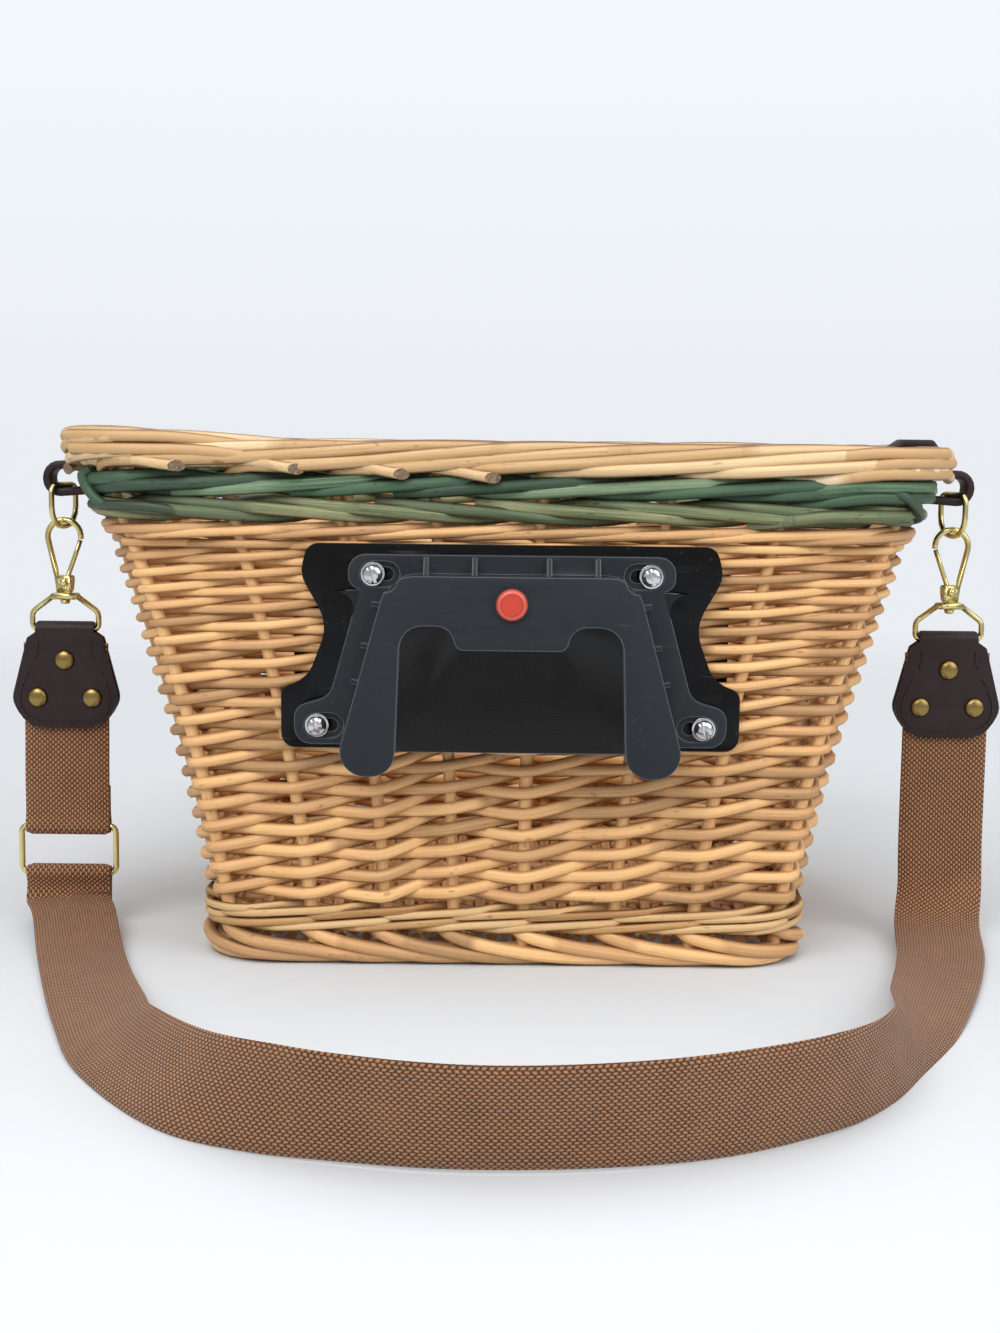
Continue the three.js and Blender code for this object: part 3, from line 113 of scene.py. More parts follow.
# How much higher than usual the rows lie at each stake of the near side
NEAR_LIFTS = (0.2, -1.0, 1.5, 0.7, 1.5, 0.3)

# Wales: the heights that a rod moves between, its radius, how far it stands out and where it starts
WALES = {
    "foot low": (15.4, 20.2, 1.95, 1.2, 2.3),
    "foot high": (20.4, 25.2, 1.9, 1.0, 9.7),
    "upper rows": (186.0, 190.4, 2.2, 0.6, 1.0),
    "lower green": (194.2, 200.6, 2.8, 2.4, 0.4),
    "upper green": (204.4, 211.2, 3.0, 2.6, 25.6),
}
WALE_RODS = 3
WALE_STEPS = 6
WALE_DEPTH = 4.6

# How much further on and higher the trimmed tips of the near side end, and those of the other sides
TIP_SHIFTS = {-1: (0.16, 3.6), 0: (0.15, 2.8), 1: (0.14, 1.2), 2: (0.0, 0.0)}
USUAL_TIP_SHIFT = (0.0, 1.0)

# Trimmed tips of the rim: how far past its stake a tip ends, its knots by place from that end, height
# and offset, height and offset of the cut, how far the cut faces ahead, outwards and up, and the
# thickness as a share of a border rod's
TIP_END = 0.56
TIP_KNOTS = ((-0.55, 215.4, -0.6), (-0.3, 213.9, 2.0), (-0.12, 212.4, 4.4), (0.18, 210.4, 6.8))
TIP_CUT = (211.6, 5.5)
TIP_FACING = (0.45, 0.85, -0.15)
TIP_THICKNESS = 0.43

# Rods cut off at the near corners: places they run between, height, offset, radius and overhang
RIM_ENDS = (
    (5.0, 6.16, 215.0, 2.6, 2.8, 6.5),
    (5.1, 6.22, 219.4, 2.2, 2.7, 6.0),
    (4.9, 6.05, 223.4, 1.0, 2.8, 5.0),
    (0.7, -0.96, 221.8, 2.6, 2.7, 7.0),
    (0.5, -1.05, 227.0, 0.6, 2.8, 5.0),
)
UPPER_GREEN_ENDS = ((4.9, 6.02, 209.6, 0.7, 2.9, 5.0), (5.0, 6.12, 204.8, 0.4, 2.8, 6.0))
LOWER_GREEN_ENDS = ((4.7, 5.88, 197.0, 0.9, 2.9, 4.5), (-0.1, -1.12, 198.2, 0.9, 2.2, 7.0))

# Green rods that cross the bands steeply at the near corners, by place, height, offset and radius
STEEP_GREENS = (
    ((-1.12, 213, -1, 2.1), (-1.16, 210.5, 2.4, 2.4), (-1.14, 205, 3.1, 2.4),
     (-1.06, 200, 2.4, 2.2), (-0.98, 197, -1, 1.9)),
    ((5.72, 207, -1, 1.9), (5.82, 205.5, 2.8, 2.1), (5.98, 200.5, 3.4, 2.2),
     (6.12, 196.5, 2.2, 2), (6.16, 195, -1, 1.8)),
)

# How far the borders of the rim and the foot stand out from the wall
RIM_PROUD = 4.6
FOOT_PROUD = 2.6

# Level rods hidden inside the borders, by height, offset and radius
RIM_CORES = ((217.4, -4.2, 3.4), (218.4, -9.6, 3.4))
FOOT_CORE = (6.4, -5.4, 3.2)

# Base: its sticks and rows, the height of its middle, how far its rods bend up and down, how far inside
# the wall's face they end and how much tighter its corners are
BASE_STICKS = 7
BASE_ROW_PITCH = 5.4
BASE_HEIGHT = 11
BASE_WAVE = 2.1
BASE_INSET = 10
BASE_CORNER_LESS = 8

# Middle and slope of the adapter's face, the hollow under its arch, which gets black painted shade,
# and the width of its edges' painted highlight and rubbed wear, in metres
ADAPTER_MIDDLE = 0.0016
ADAPTER_LEAN = 0.0563
ARCH_DEPTH = -0.1344
ARCH_HALF_WIDTH = 0.051
ARCH_CEILING = 0.1535
HIGHLIGHT_AND_WEAR_EDGE = 0.0007

# Horns of the adapter's flange, in metres from the height of the button's middle: they lie between two
# heights and outside a slanting line, which is given by the height where it meets the middle
HORN_FOOT = -0.0066
HORN_TOP = 0.0037
HORN_LINE_TOP = 0.2304
HORN_LINE_SLOPE = 0.28

# Webbing, in millimetres
WEBBING_WIDTH = 39
WEBBING_THICKNESS = 2.3
WEBBING_CELLS = 14
WEAVE_COLUMN = 1.25
WEAVE_PICK = 2.4

# Leather tabs, in metres: height of the head above the stitches and their distance from the edge
TAB_HEAD = 0.009
STITCH_INSET = 0.0026

# Line of the stitches on one half of a leather tab, as shares of its half width and of its height from
# the top, and how far the thread stands out, in millimetres
TAB_OUTLINE = ((0.62, 0.0), (0.60, 0.10), (0.73, 0.30), (0.9, 0.52), (0.965, 0.70), (0.93, 0.83),
               (0.80, 0.925), (0.62, 0.98), (0.35, 1.0), (0.0, 1.0))
THREAD_PROUD = 0.28

# Middle line of the strap fittings, and the slide ring's two bars
CHAIN_X = 203.321
CHAIN_Y = -55
TAB_FOOT_Z = 93.6
WEBBING_TOP_Z = 131.8
SLIDE_TOP_Z = 46
SLIDE_FOOT_Z = 24
SLIDE_WRAP = 2.85
LAYER = 1.225

# Camera: place from the body's middle in metres, angles in degrees and lens in millimetres
CAMERA_PLACE = (-0.003, -0.938, 0.229)
CAMERA_DROP = 6.84
CAMERA_ROLL = 0.65
CAMERA_LENS = 52.0

# Floor: width and the distances between which it fades out, in metres
FLOOR_SIZE = 7.0
FLOOR_FADE = (0.45, 1.5)


def hanging(side, y, z):
    """Station of level webbing that hangs on one side of the basket: outer and inner edge."""
    return tuple(
        Vector((side * (CHAIN_X + reach), CHAIN_Y + BODY_Y + y, z))
        for reach in (WEBBING_WIDTH / 2, -WEBBING_WIDTH / 2)
    )


def turned_round(side, z, upward, angles):
    """Stations of webbing that is turned round a bar."""
    turns = [math.radians(angle) for angle in angles]
    return [
        hanging(side, SLIDE_WRAP * math.cos(turn), z + upward * SLIDE_WRAP * math.sin(turn)) for turn in turns
    ]


def standing(low, high):
    """Station on the floor: the edge that rests on it and the direction of the other edge."""
    shift = Vector((0, BODY_Y, 0))
    low, high = Vector(low) + shift, Vector(high) + shift
    return low, low + (high - low).normalized() * WEBBING_WIDTH


SHORT_WEBBING = [
    hanging(-1, 0, WEBBING_TOP_Z),
    hanging(-1, 0, TAB_FOOT_Z - 2),
    hanging(-1, -LAYER, SLIDE_TOP_Z + 23),
    hanging(-1, -LAYER, SLIDE_TOP_Z + 6),
    *turned_round(-1, SLIDE_TOP_Z, -1, range(180, -1, -30)),
    hanging(-1, LAYER, SLIDE_TOP_Z + 6),
    hanging(-1, LAYER, SLIDE_TOP_Z + 19),
]
LONG_WEBBING = [
    hanging(-1, LAYER, SLIDE_FOOT_Z - 13),
    hanging(-1, LAYER, SLIDE_FOOT_Z - 6),
    *turned_round(-1, SLIDE_FOOT_Z, 1, range(0, 181, 30)),
    hanging(-1, -LAYER, SLIDE_FOOT_Z - 6),
    hanging(-1, -LAYER - 1.5, SLIDE_FOOT_Z - 11),
    standing((-217.5, -68, 9.5), (-178, -74, 10.5)),
    standing((-203, -118, 2.6), (-163.5, -126, 4)),
    standing((-173.5, -214, 1.6), (-137, -224, 14.4)),
    standing((-152, -269, 1.6), (-122.6, -280, 25.8)),
    standing((-113.6, -325, 1.6), (-92.5, -333, 34.4)),
    standing((-83, -344.5, 1.6), (-69.5, -352.5, 38)),
    standing((-56.7, -353, 1.6), (-49.2, -363, 39.4)),
    standing((-28, -359, 1.6), (-24.5, -370, 39.8)),
    standing((-3, -360.5, 1.6), (-3, -372, 39.8)),
    standing((28.3, -358, 1.6), (24.6, -369.5, 39.7)),
    standing((60.4, -350.5, 1.6), (53.4, -362, 39.2)),
    standing((87.7, -337, 1.6), (77.6, -350, 37.8)),
    standing((114, -317, 1.6), (103.8, -333, 36.2)),
    standing((136, -289, 1.6), (121.6, -311, 32)),
    standing((155, -251, 1.6), (137, -278, 26)),
    standing((180.5, -196, 2.6), (150, -218, 17)),
    standing((211, -112, 3.4), (172.5, -117, 5.5)),
    standing((219.5, -68, 9.5), (179.8, -69, 10)),
    hanging(1, -2, 22),
    hanging(1, 0, 40),
    hanging(1, 0, TAB_FOOT_Z - 2),
    hanging(1, 0, WEBBING_TOP_Z),
]

# Where the strap passes from one joint's bodies to the next, along it from either end, and how near to
# such a place no other row of the mesh lies
STRAP_JOINTS_LEFT = (27, 38, 64, 94, 190, 330)
STRAP_JOINTS_RIGHT = (41, 87, 124, 220, 360)
ROW_GAP = 0.5
STRAP_BODIES = (
    ("slide_ring",),
    ("slide_ring", "left_tab"),
    ("left_tab", "left_bow"),
    ("left_bow", "left_hook"),
    ("left_hook", "left_ring"),
    ("left_ring", "basket"),
    ("basket",),
    ("basket", "right_ring"),
    ("right_ring", "right_hook"),
    ("right_hook", "right_bow"),
    ("right_bow", "right_tab"),
    ("right_tab",),
)


def deselect_all():
    bpy.ops.object.select_all(action="DESELECT")


def srgb(code):
    """A hex colour as linear red, green, blue and alpha."""
    channels = [(code >> shift & 255) / 255 for shift in (16, 8, 0)]
    return tuple(
        c / 12.92 if c <= 0.04045 else ((c + 0.055) / 1.055) ** 2.4 for c in channels
    ) + (1.0,)


# Shape of the wall


def wall_section(z):
    """Half width, half depth and corner radius of the wall's outer face at a height."""
    rise = z / WALL_TOP
    half_x = BASE_WIDTH / 2 + (RIM_WIDTH - BASE_WIDTH) / 2 * rise * (1 - END_FLARE + END_FLARE * rise)
    half_y = BASE_DEPTH / 2 + (RIM_DEPTH - BASE_DEPTH) / 2 * rise
    return half_x, half_y, BASE_CORNER + (RIM_CORNER - BASE_CORNER) * rise


def wall_shift(z):
    """How far the middle of the wall's section lies behind the origin: the foot stands forward."""
    return BODY_Y - FOOT_FORWARD * (1 - z / WALL_TOP)


def stake_distances(run_x, run_y, arc):
    """Distance of each stake along the section, from the left end of the near side."""
    distances = []
    start = 0.0
    for run, shares in 2 * ((run_x, LONG_SIDE_STAKES), (run_y, SHORT_SIDE_STAKES)):
        distances += [start + (share + 1) / 2 * run for share in shares]
        distances.append(start + run + arc / 2)
        start += run + arc
    return distances, start


def wall_point(place, z, offset):
    """Point of the wall: place counts stakes along it, offset is outwards from its face."""
    half_x, half_y, corner = wall_section(z)
    run_x, run_y, arc = 2 * (half_x - corner), 2 * (half_y - corner), math.pi / 2 * corner
    distances, around = stake_distances(run_x, run_y, arc)
    place %= STAKES
    whole = int(place)
    here = distances[whole]
    ahead = distances[whole + 1] if whole + 1 < STAKES else distances[0] + around
    distance = (here + (ahead - here) * (place - whole)) % around
    legs = (
        (run_x, (-half_x + corner, -half_y), (1, 0), (0, -1)),
        (run_y, (half_x, -half_y + corner), (0, 1), (1, 0)),
        (run_x, (half_x - corner, half_y), (-1, 0), (0, 1)),
        (run_y, (-half_x, half_y - corner), (0, -1), (-1, 0)),
    )
    for run, start, along, out in legs:
        if distance <= run:
            x, y = start[0] + along[0] * distance, start[1] + along[1] * distance
            return Vector((x + out[0] * offset, y + out[1] * offset + wall_shift(z), z))
        distance -= run
        if distance <= arc:
            turn = distance / corner
            centre_x = start[0] + along[0] * run - out[0] * corner
            centre_y = start[1] + along[1] * run - out[1] * corner
            reach = corner + offset
            x = centre_x + reach * (out[0] * math.cos(turn) + along[0] * math.sin(turn))
            y = centre_y + reach * (out[1] * math.cos(turn) + along[1] * math.sin(turn))
            return Vector((x, y + wall_shift(z), z))
        distance -= arc
    raise ValueError("place lies outside the section")


# Rods and wires


def lay_rods(name, routes, roundness=2, tones=None):
    """Sweeps round rods along routes of (point, radius) in millimetres and joins them to one mesh.

    The attribute run is the distance along a rod in metres; ring holds the place round the rod
    and, as its third part, the rod's own tone.
    """
    deselect_all()
    bpy.ops.object.add(type="CURVE", location=(0, 0, 0))
    piece = bpy.context.object
    piece.name = name
    curve = piece.data
    curve.dimensions = "3D"
    curve.bevel_depth = MM
    curve.bevel_resolution = roundness
    curve.use_fill_caps = True
    for route in routes:
        spline = curve.splines.new("POLY")
        spline.points.add(len(route) - 1)
        for knot, (point, radius) in zip(spline.points, route):
            knot.co = (*(point * MM), 1.0)
            knot.radius = radius
    bpy.ops.object.convert(target="MESH")
    piece = bpy.context.object
    bpy.ops.object.shade_smooth()
    mesh = piece.data
    count = sum(len(route) for route in routes)
    sides = len(mesh.vertices) // count
    random_tone = random.Random(name)
    run = mesh.attributes.new("run", "FLOAT", "POINT")
    ring = mesh.attributes.new("ring", "FLOAT_VECTOR", "POINT")
    vertex = 0
    for number, route in enumerate(routes):
        tone = tones[number] if tones else random_tone.random()
        along = random_tone.random()
        previous = route[0][0]
        for point, _ in route:
            along += (point - previous).length * MM
            previous = point
            for side in range(sides):
                angle = 2 * math.pi * side / sides
                run.data[vertex].value = along
                ring.data[vertex].vector = (math.cos(angle), math.sin(angle), tone)
                vertex += 1
    return piece


def give(piece, body, material, nodes=()):
    """Dresses a finished piece: its finish, the nodes it stands for and the body it rides on."""
    piece.data.materials.clear()
    piece.data.materials.append(material)
    if nodes:
        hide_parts(*nodes)
    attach(piece, body)
    return piece


# Shader nodes


class Output:
    """Output of a shader node, which can be reckoned with like a number."""

    def __init__(self, socket):
        self.socket = socket
        self.tree = socket.id_data

    def __add__(self, other):
        return reckon("ADD", self, other)

    def __sub__(self, other):
        return reckon("SUBTRACT", self, other)

    def __rsub__(self, other):
        return reckon("SUBTRACT", other, self)

    def __mul__(self, other):
        return reckon("MULTIPLY", self, other)

    def __truediv__(self, other):
        return reckon("DIVIDE", self, other)

    def __gt__(self, other):
        return reckon("GREATER_THAN", self, other)

    def __lt__(self, other):
        return reckon("LESS_THAN", self, other)

    def __abs__(self):
        return reckon("ABSOLUTE", self)


def fill(node, inputs):
    """Sets the named or numbered inputs of a node to plain values or to outputs of other nodes."""
    for name, value in inputs.items():
        if isinstance(value, Output):
            node.id_data.links.new(value.socket, node.inputs[name])
        else:
            node.inputs[name].default_value = value


def add_node(tree, kind, inputs=None, **settings):
    node = tree.nodes.new(f"ShaderNode{kind}")
    for name, value in settings.items():
        setattr(node, name, value)
    fill(node, inputs or {})
    return node


def node_output(tree, kind, inputs=None, output=0, **settings):
    """One output of a new node."""
    return Output(add_node(tree, kind, inputs, **settings).outputs[output])


def tree_of(values):
    """Node tree of the first output among some values."""
    return next(value.tree for value in values if isinstance(value, Output))


def reckon(operation, *values):
    return node_output(tree_of(values), "Math", dict(enumerate(values)), operation=operation)


def split(vector):
    """The three parts of a vector."""
    return [Output(socket) for socket in add_node(vector.tree, "SeparateXYZ", {0: vector}).outputs]


def mix_colours(factor, first, second, blend="MIX"):
    """Mix of two colours, each a plain one or an output."""
    inputs = {0: factor, 6: first, 7: second}
    return node_output(tree_of(inputs.values()), "Mix", inputs, 2, data_type="RGBA", blend_type=blend)


def ramp(value, *stops):
    """Colour ramp of (position, colour) stops."""
    node = add_node(value.tree, "ValToRGB", {0: value})
    elements = node.color_ramp.elements
    while len(elements) < len(stops):
        elements.new(0.5)
    for element, (position, colour) in zip(elements, stops):
        element.position = position
        element.color = colour
    return Output(node.outputs[0])


def mask(value, low, high):
    """Mask that is empty up to low and full from high on."""
    return ramp(value, (low, BLACK), (high, WHITE))


def spread(value, low, high):
    """A value between nought and one, carried over to the span from low to high."""
    return node_output(value.tree, "MapRange", {"Value": value, "To Min": low, "To Max": high})


def noise(vector, scale, detail=2.0, roughness=0.5):
    inputs = {"Vector": vector, "Scale": scale, "Detail": detail, "Roughness": roughness}
    return node_output(vector.tree, "TexNoise", inputs)


def bump(height, strength, distance):
    inputs = {"Height": height, "Strength": strength, "Distance": distance}
    return node_output(height.tree, "Bump", inputs)


def place_on(tree):
    """Object coordinates, in metres."""
    return node_output(tree, "TexCoord", output="Object")


def coordinates(tree, scale=(1, 1, 1), turn=(0, 0, 0)):
    """Object coordinates, turned and stretched."""
    return node_output(tree, "Mapping", {"Vector": place_on(tree), "Scale": scale, "Rotation": turn})


def new_material(name):
    """A new material with its node tree and its shader."""
    material = bpy.data.materials.new(name)
    material.use_nodes = True
    return material, material.node_tree, material.node_tree.nodes["Principled BSDF"]


def new_group(name, inputs, outputs):
    """Shader node group with (kind, default) inputs and named outputs: group, its inputs and its end."""
    group = bpy.data.node_groups.new(name, "ShaderNodeTree")
    for label, (kind, default) in inputs.items():
        socket = group.interface.new_socket(label, in_out="INPUT", socket_type=f"NodeSocket{kind}")
        socket.default_value = default
    for label, kind in outputs.items():
        group.interface.new_socket(label, in_out="OUTPUT", socket_type=f"NodeSocket{kind}")
    entry = group.nodes.new("NodeGroupInput")
    return group, [Output(entry.outputs[label]) for label in inputs], group.nodes.new("NodeGroupOutput")


def rod_grain_group():
    """Streaks, bark spots and tone of one rod, from its run and ring attributes."""
    inputs = {
        "Dark": ("Color", srgb(0xA5673A)),
        "Middle": ("Color", srgb(0xC98F5C)),
        "Light": ("Color", srgb(0xDDB080)),
        "Spots": ("Float", 0.5),
        "Gap Shading": ("Float", 1.0),
    }
    outputs = {"Color": "Color", "Height": "Float", "Roughness": "Float"}
    group, (dark, middle, light, spots, gap_shading), leaving = new_group("Rod Grain", inputs, outputs)
    run = node_output(group, "Attribute", output="Fac", attribute_name="run")
    ring = node_output(group, "Attribute", output="Vector", attribute_name="ring")
    ring_x, ring_y, tone = split(ring)
    # The tone also moves the pattern along, so that no two rods show the same stretch of it
    shifted = run + tone * 37.0

    def bark(stretch, across):
        """Place on the rod's bark, stretched along the rod and round it."""
        parts = {0: shifted * stretch, 1: ring_x * across, 2: ring_y * across}
        return node_output(group, "CombineXYZ", parts)

    streaks = noise(bark(14.0, 1.6), 2.2, 4.0, 0.6)
    blotches = noise(bark(16.0, 0.35), 1.0, 2.0)
    grain = noise(bark(60.0, 6.0), 1.0, 3.0, 0.7)
    knots = noise(bark(150.0, 1.3), 1.0, 1.0)
    shade = tone * 0.45 + streaks * 0.55 + blotches * 0.25 - 0.22
    lower = mix_colours(mask(shade, 0.15, 0.45), dark, middle)
    upper = mix_colours(mask(shade, 0.42, 0.8), lower, light)
    dark_spot = mix_colours(1.0, upper, (0.36, 0.25, 0.18, 1.0), "MULTIPLY")
    plain = mix_colours(mask(knots, 0.68, 0.76) * spots, upper, dark_spot)
    # Painted shade: faces of a rod that look up or down, towards the rows beside it, are darkened
    level_face = abs(split(node_output(group, "TexCoord", output="Normal"))[2])
    gap_shade = ramp(level_face, (0.68, WHITE), (0.99, srgb(0x85664A)))
    gap_shaded = mix_colours(1.0, plain, gap_shade, "MULTIPLY")
    fill(leaving, {
        "Color": mix_colours(gap_shading, plain, gap_shaded),
        "Height": grain,
        "Roughness": spread(streaks, 0.42, 0.68),
    })
    return group


# Weaving


def eased(share):
    share = min(max(share, 0.0), 1.0)
    return share * share * (3 - 2 * share)


def between(value, low, high):
    """Nought below low, one above high and smooth between them."""
    return eased((value - low) / (high - low))


def unevenness(seed, reach):
    """Slow change of reach millimetres at most, one value for each stake, smooth between them."""
    steps = random.Random(seed)
    values = [steps.uniform(-reach, reach) for _ in range(STAKES)]

    def at(place):
        whole = math.floor(place)
        here, ahead = values[whole % STAKES], values[(whole + 1) % STAKES]
        return here + (ahead - here) * eased(place - whole)

    return at


def smooth_route(knots, steps=4):
    """Catmull-Rom path through (place, height, offset, radius) knots of the wall."""
    route = []
    for i in range(len(knots) - 1):
        a, b, c, d = (knots[min(max(i + j, 0), len(knots) - 1)] for j in (-1, 0, 1, 2))
        for step in range(steps + (i == len(knots) - 2)):
            t = step / steps
            place, z, offset, radius = (
                0.5 * (2 * q + (r - p) * t + (2 * p - 5 * q + 4 * r - s) * t * t
                       + (3 * q - p - 3 * r + s) * t ** 3)
                for p, q, r, s in zip(a, b, c, d)
            )
            route.append((wall_point(place, z, offset), radius))
    return route


def stake_routes(settings):
    """Upright stakes, a little uneven, from the foot to the rim."""
    uneven = random.Random("stakes")
    routes = []
    for place, low in (*((stake, STAKE_FOOT) for stake in range(STAKES)), *EXTRA_STAKES):
        lean = uneven.uniform(-0.03, 0.03)
        thick = settings.stake_thickness / MM / 2 * uneven.uniform(0.94, 1.06)
        route = []
        for step in range(STAKE_STEPS + 1):
            z = low + (STAKE_TOP - low) * step / STAKE_STEPS
            wander = lean * math.sin(z / 40 + place)
            offset = WALL_MIDDLE + 0.7 + side_bulge(round(place), z)
            taper = 1.04 - 0.1 * step / STAKE_STEPS
            route.append((wall_point(place + wander, z, offset), thick * taper))
        routes.append(route)
    return routes


def row_levels(settings):
    """Heights of the rows of weaving at a stake, from the foot up; the rows close up below the top."""
    low_pitch, high_pitch = settings.low_pitch / MM, settings.high_pitch / MM
    levels = [LOWEST_ROW]
    while levels[-1] < HIGHEST_ROW:
        levels.append(levels[-1] + low_pitch + (high_pitch - low_pitch) * between(levels[-1], 85, 175))
    return levels


def climbing(levels, level):
    """Height on a rod that has climbed by level rows, one for each stake.

    It rises steeply from the front of a stake to the back of the next and runs on almost level
    to the front of the one after.
    """
    low = 2 * math.floor(level / 2)
    here, ahead = (levels[min(max(low + step, 0), len(levels) - 1)] for step in (0, 2))
    steep = 0.84 - 0.2 * between(here, COARSE_TOP, FINE_FOOT)
    phase = level - low
    share = steep * phase if phase < 1 else steep + (1 - steep) * (phase - 1)
    return here + (ahead - here) * share


def side_bulge(stake, z):
    """How far the rods stand out further round the stakes of the short sides."""
    if stake % STAKES not in SHORT_SIDES:
        return 0.0
    return (1.5 + 2.9 * between(z, 30, 140)) * (1 - 0.4 * between(z, 172, 184))


def near_lift(place):
    """How much higher than usual the rows of the near side lie."""
    place %= STAKES
    whole = int(place)
    here, ahead = (
        NEAR_LIFTS[stake] if stake < len(NEAR_LIFTS) else 0.0 for stake in (whole, (whole + 1) % STAKES)
    )
    return here + (ahead - here) * (place - whole)


def straight_point(place, z, offset):
    """Point of a rod that runs straight from one stake to the next."""
    here = math.floor(place)
    ends = [wall_point(stake, z, offset + side_bulge(stake, z)) for stake in (here, here + 1)]
    return ends[0].lerp(ends[1], place - here)


def weave_routes(settings):
    """Rods that climb one row at each stake, in front of one and behind the next."""
    uneven = random.Random("weave")
    levels = row_levels(settings)
    top = len(levels) - 1
    lift = unevenness("lift", 0.9)
    routes = []
    for rod in range(STAKES):
        sway = unevenness(f"sway{rod}", 0.3)
        # Each rod is two lengths, which overlap behind a stake
        join = 2 * uneven.randrange(7, 11) + 1
        for start, end in ((-0.8, join + 0.3), (join - 0.3, top + 0.6)):
            thick = settings.rod_thickness / MM / 2 * uneven.uniform(0.96, 1.06)
            route = []
            steps = round((end - start) * WEAVE_STEPS)
            for step in range(steps + 1):
                level = start + (end - start) * step / steps
                place = rod + level
                nearby = ((-0.08, 0.25), (0, 0.5), (0.08, 0.25))
                z = sum(climbing(levels, level + ahead) * weight for ahead, weight in nearby)
                z = min(z + (near_lift(place) + lift(place) + sway(place)), HIGHEST_ROD)
                swing = 1 - 2 * abs((level + 1) % 2 - 1)
                reach = WEAVE_SWING * (1.2 * swing - 0.2 * swing ** 5)
                point = straight_point(place, z, WALL_MIDDLE + reach)
                taper = 1.03 - 0.08 * step / steps
                far = 1 + 0.2 * between(point.y, -90, 10)
                fine = 1 - 0.28 * between(z, COARSE_TOP, FINE_FOOT)
                route.append((point, thick * taper * far * fine))
            routes.append(route)
    return routes


def wale_routes(name, falling=False):
    """Three rods that start one stake apart; each passes in front of two stakes, then behind one."""
    low, high, radius, proud, start = WALES[name]
    routes = []
    out = WALE_RODS - 1
    front = proud - radius
    for rod in range(WALE_RODS):
        begin = start + rod
        sway = unevenness(f"{name}{rod}", 0.3)
        route = []
        for step in range(WALE_STEPS * STAKES + 3):
            place = begin + step / WALE_STEPS
            phase = (step / WALE_STEPS) % WALE_RODS
            if phase <= out:
                share = phase / out
                lift = 1 - share if falling else share
                reach = eased(phase / 0.42) * eased((out - phase) / 0.42)
                offset = WALL_MIDDLE + (front - WALL_MIDDLE) * reach - 0.7 * (1 - share) * reach
            else:
                behind = phase - out
                lift = eased(behind) if falling else 1 - eased(behind)
                offset = WALL_MIDDLE - WALE_DEPTH * math.sin(math.pi * behind)
            z = low + (high - low) * lift + sway(place)
            route.append((wall_point(place, z, offset), radius * (1 + 0.05 * sway(place + 7) / 0.3)))
        routes.append(route)
    return routes


def rim_lift(place):
    """Extra height of the rim round its raised near left corner."""
    away = (place + 0.9 + STAKES / 2) % STAKES - STAKES / 2
    return 4.4 * math.exp(-(away / 1.15) ** 2)


def rim_routes(settings):
    """Border rods: each rises along the outside past three stakes, goes over the top and ends inside."""
    routes = []
    for stake in range(STAKES):
        uneven = random.Random(f"rim{stake}")
        start = stake + uneven.uniform(-0.08, 0.08)
        thick = settings.border_thickness / MM / 2 * uneven.uniform(0.95, 1.07)
        rise = uneven.uniform(-0.35, 0.35)
        out = RIM_PROUD - thick + uneven.uniform(-0.3, 0.3)
        knots = [
            (start - 0.02, 204, -6.2, thick * 0.92),
            (start + 0.03, 209.5, -5.6, thick * 0.95),
            (start + 0.22, 214.2, -1.6, thick),
            (start + 0.6, 215.2 + rise, out + 0.5, thick),
            (start + 1.3, 217.5 + rise, out + 0.1, thick),
            (start + 2.0, 220.6 + rise, out - 0.7, thick),
            (start + 2.7, 223.3 + rise, out - 2.4, thick),
            (start + 3.3, 223.9 + rise, out - 5.8, thick * 0.97),
            (start + 3.9, 223.2, -8.4, thick * 0.95),
            (start + 4.6, 221.8, -12.4, thick * 0.93),
            (start + 5.2, 218, -14.6, thick * 0.9),
            (start + 5.6, 213.6, -14.4, thick * 0.86),
        ]
        routes.append(smooth_route([
            (place, z + rim_lift(place) * (z - 204) / 18, offset, radius)
            for place, z, offset, radius in knots
        ]))
    return routes + [hoop(*core) for core in RIM_CORES]


def hoop(z, offset, radius):
    """Rod that runs level all round the wall."""
    return [(wall_point(step / 4, z, offset), radius) for step in range(STAKES * 4 + 1)]


def cut_rod_routes(ends):
    """Short rods that follow the wall to a corner and stand out there, cut off straight."""
    routes = []
    for start, end, z, offset, radius, overhang in ends:
        points = [
            wall_point(start + (end - start) * step / 12, z - 4 * (1 - eased(step / 7)),
                       offset - 5 * (1 - eased(step / 5)))
            for step in range(13)
        ]
        onward = (points[-1] - points[-2]).normalized()
        routes.append([(point, radius) for point in (*points, points[-1] + onward * overhang)])
    return routes


def foot_border_routes(settings):
    """Thick rods that come out under the wale at a stake and run down under the edge of the base."""
    routes = []
    for stake in range(STAKES):
        uneven = random.Random(f"foot{stake}")
        start = stake - 0.12 + uneven.uniform(-0.1, 0.1)
        thick = settings.border_thickness / MM / 2 * uneven.uniform(0.98, 1.12)
        out = FOOT_PROUD - thick
        routes.append(smooth_route([
            (start - 0.06, 18.5, WALL_MIDDLE + 1.2, thick * 0.9),
            (start, 15.2, WALL_MIDDLE + 1.8, thick * 0.95),
            (start + 0.16, 12.6, out - 1.6, thick),
            (start + 0.5, 9.7, out + 0.3, thick),
            (start + 1.0, 6.6, out + 0.1, thick),
            (start + 1.6, 4.0, out - 0.9, thick),
            (start + 2.3, thick + 0.3, out - 3.2, thick),
            (start + 3.1, thick + 0.2, out - 8.4, thick * 0.95),
            (start + 3.7, thick + 1.6, out - 12.6, thick * 0.9),
        ]))
    return routes + [hoop(*FOOT_CORE)]


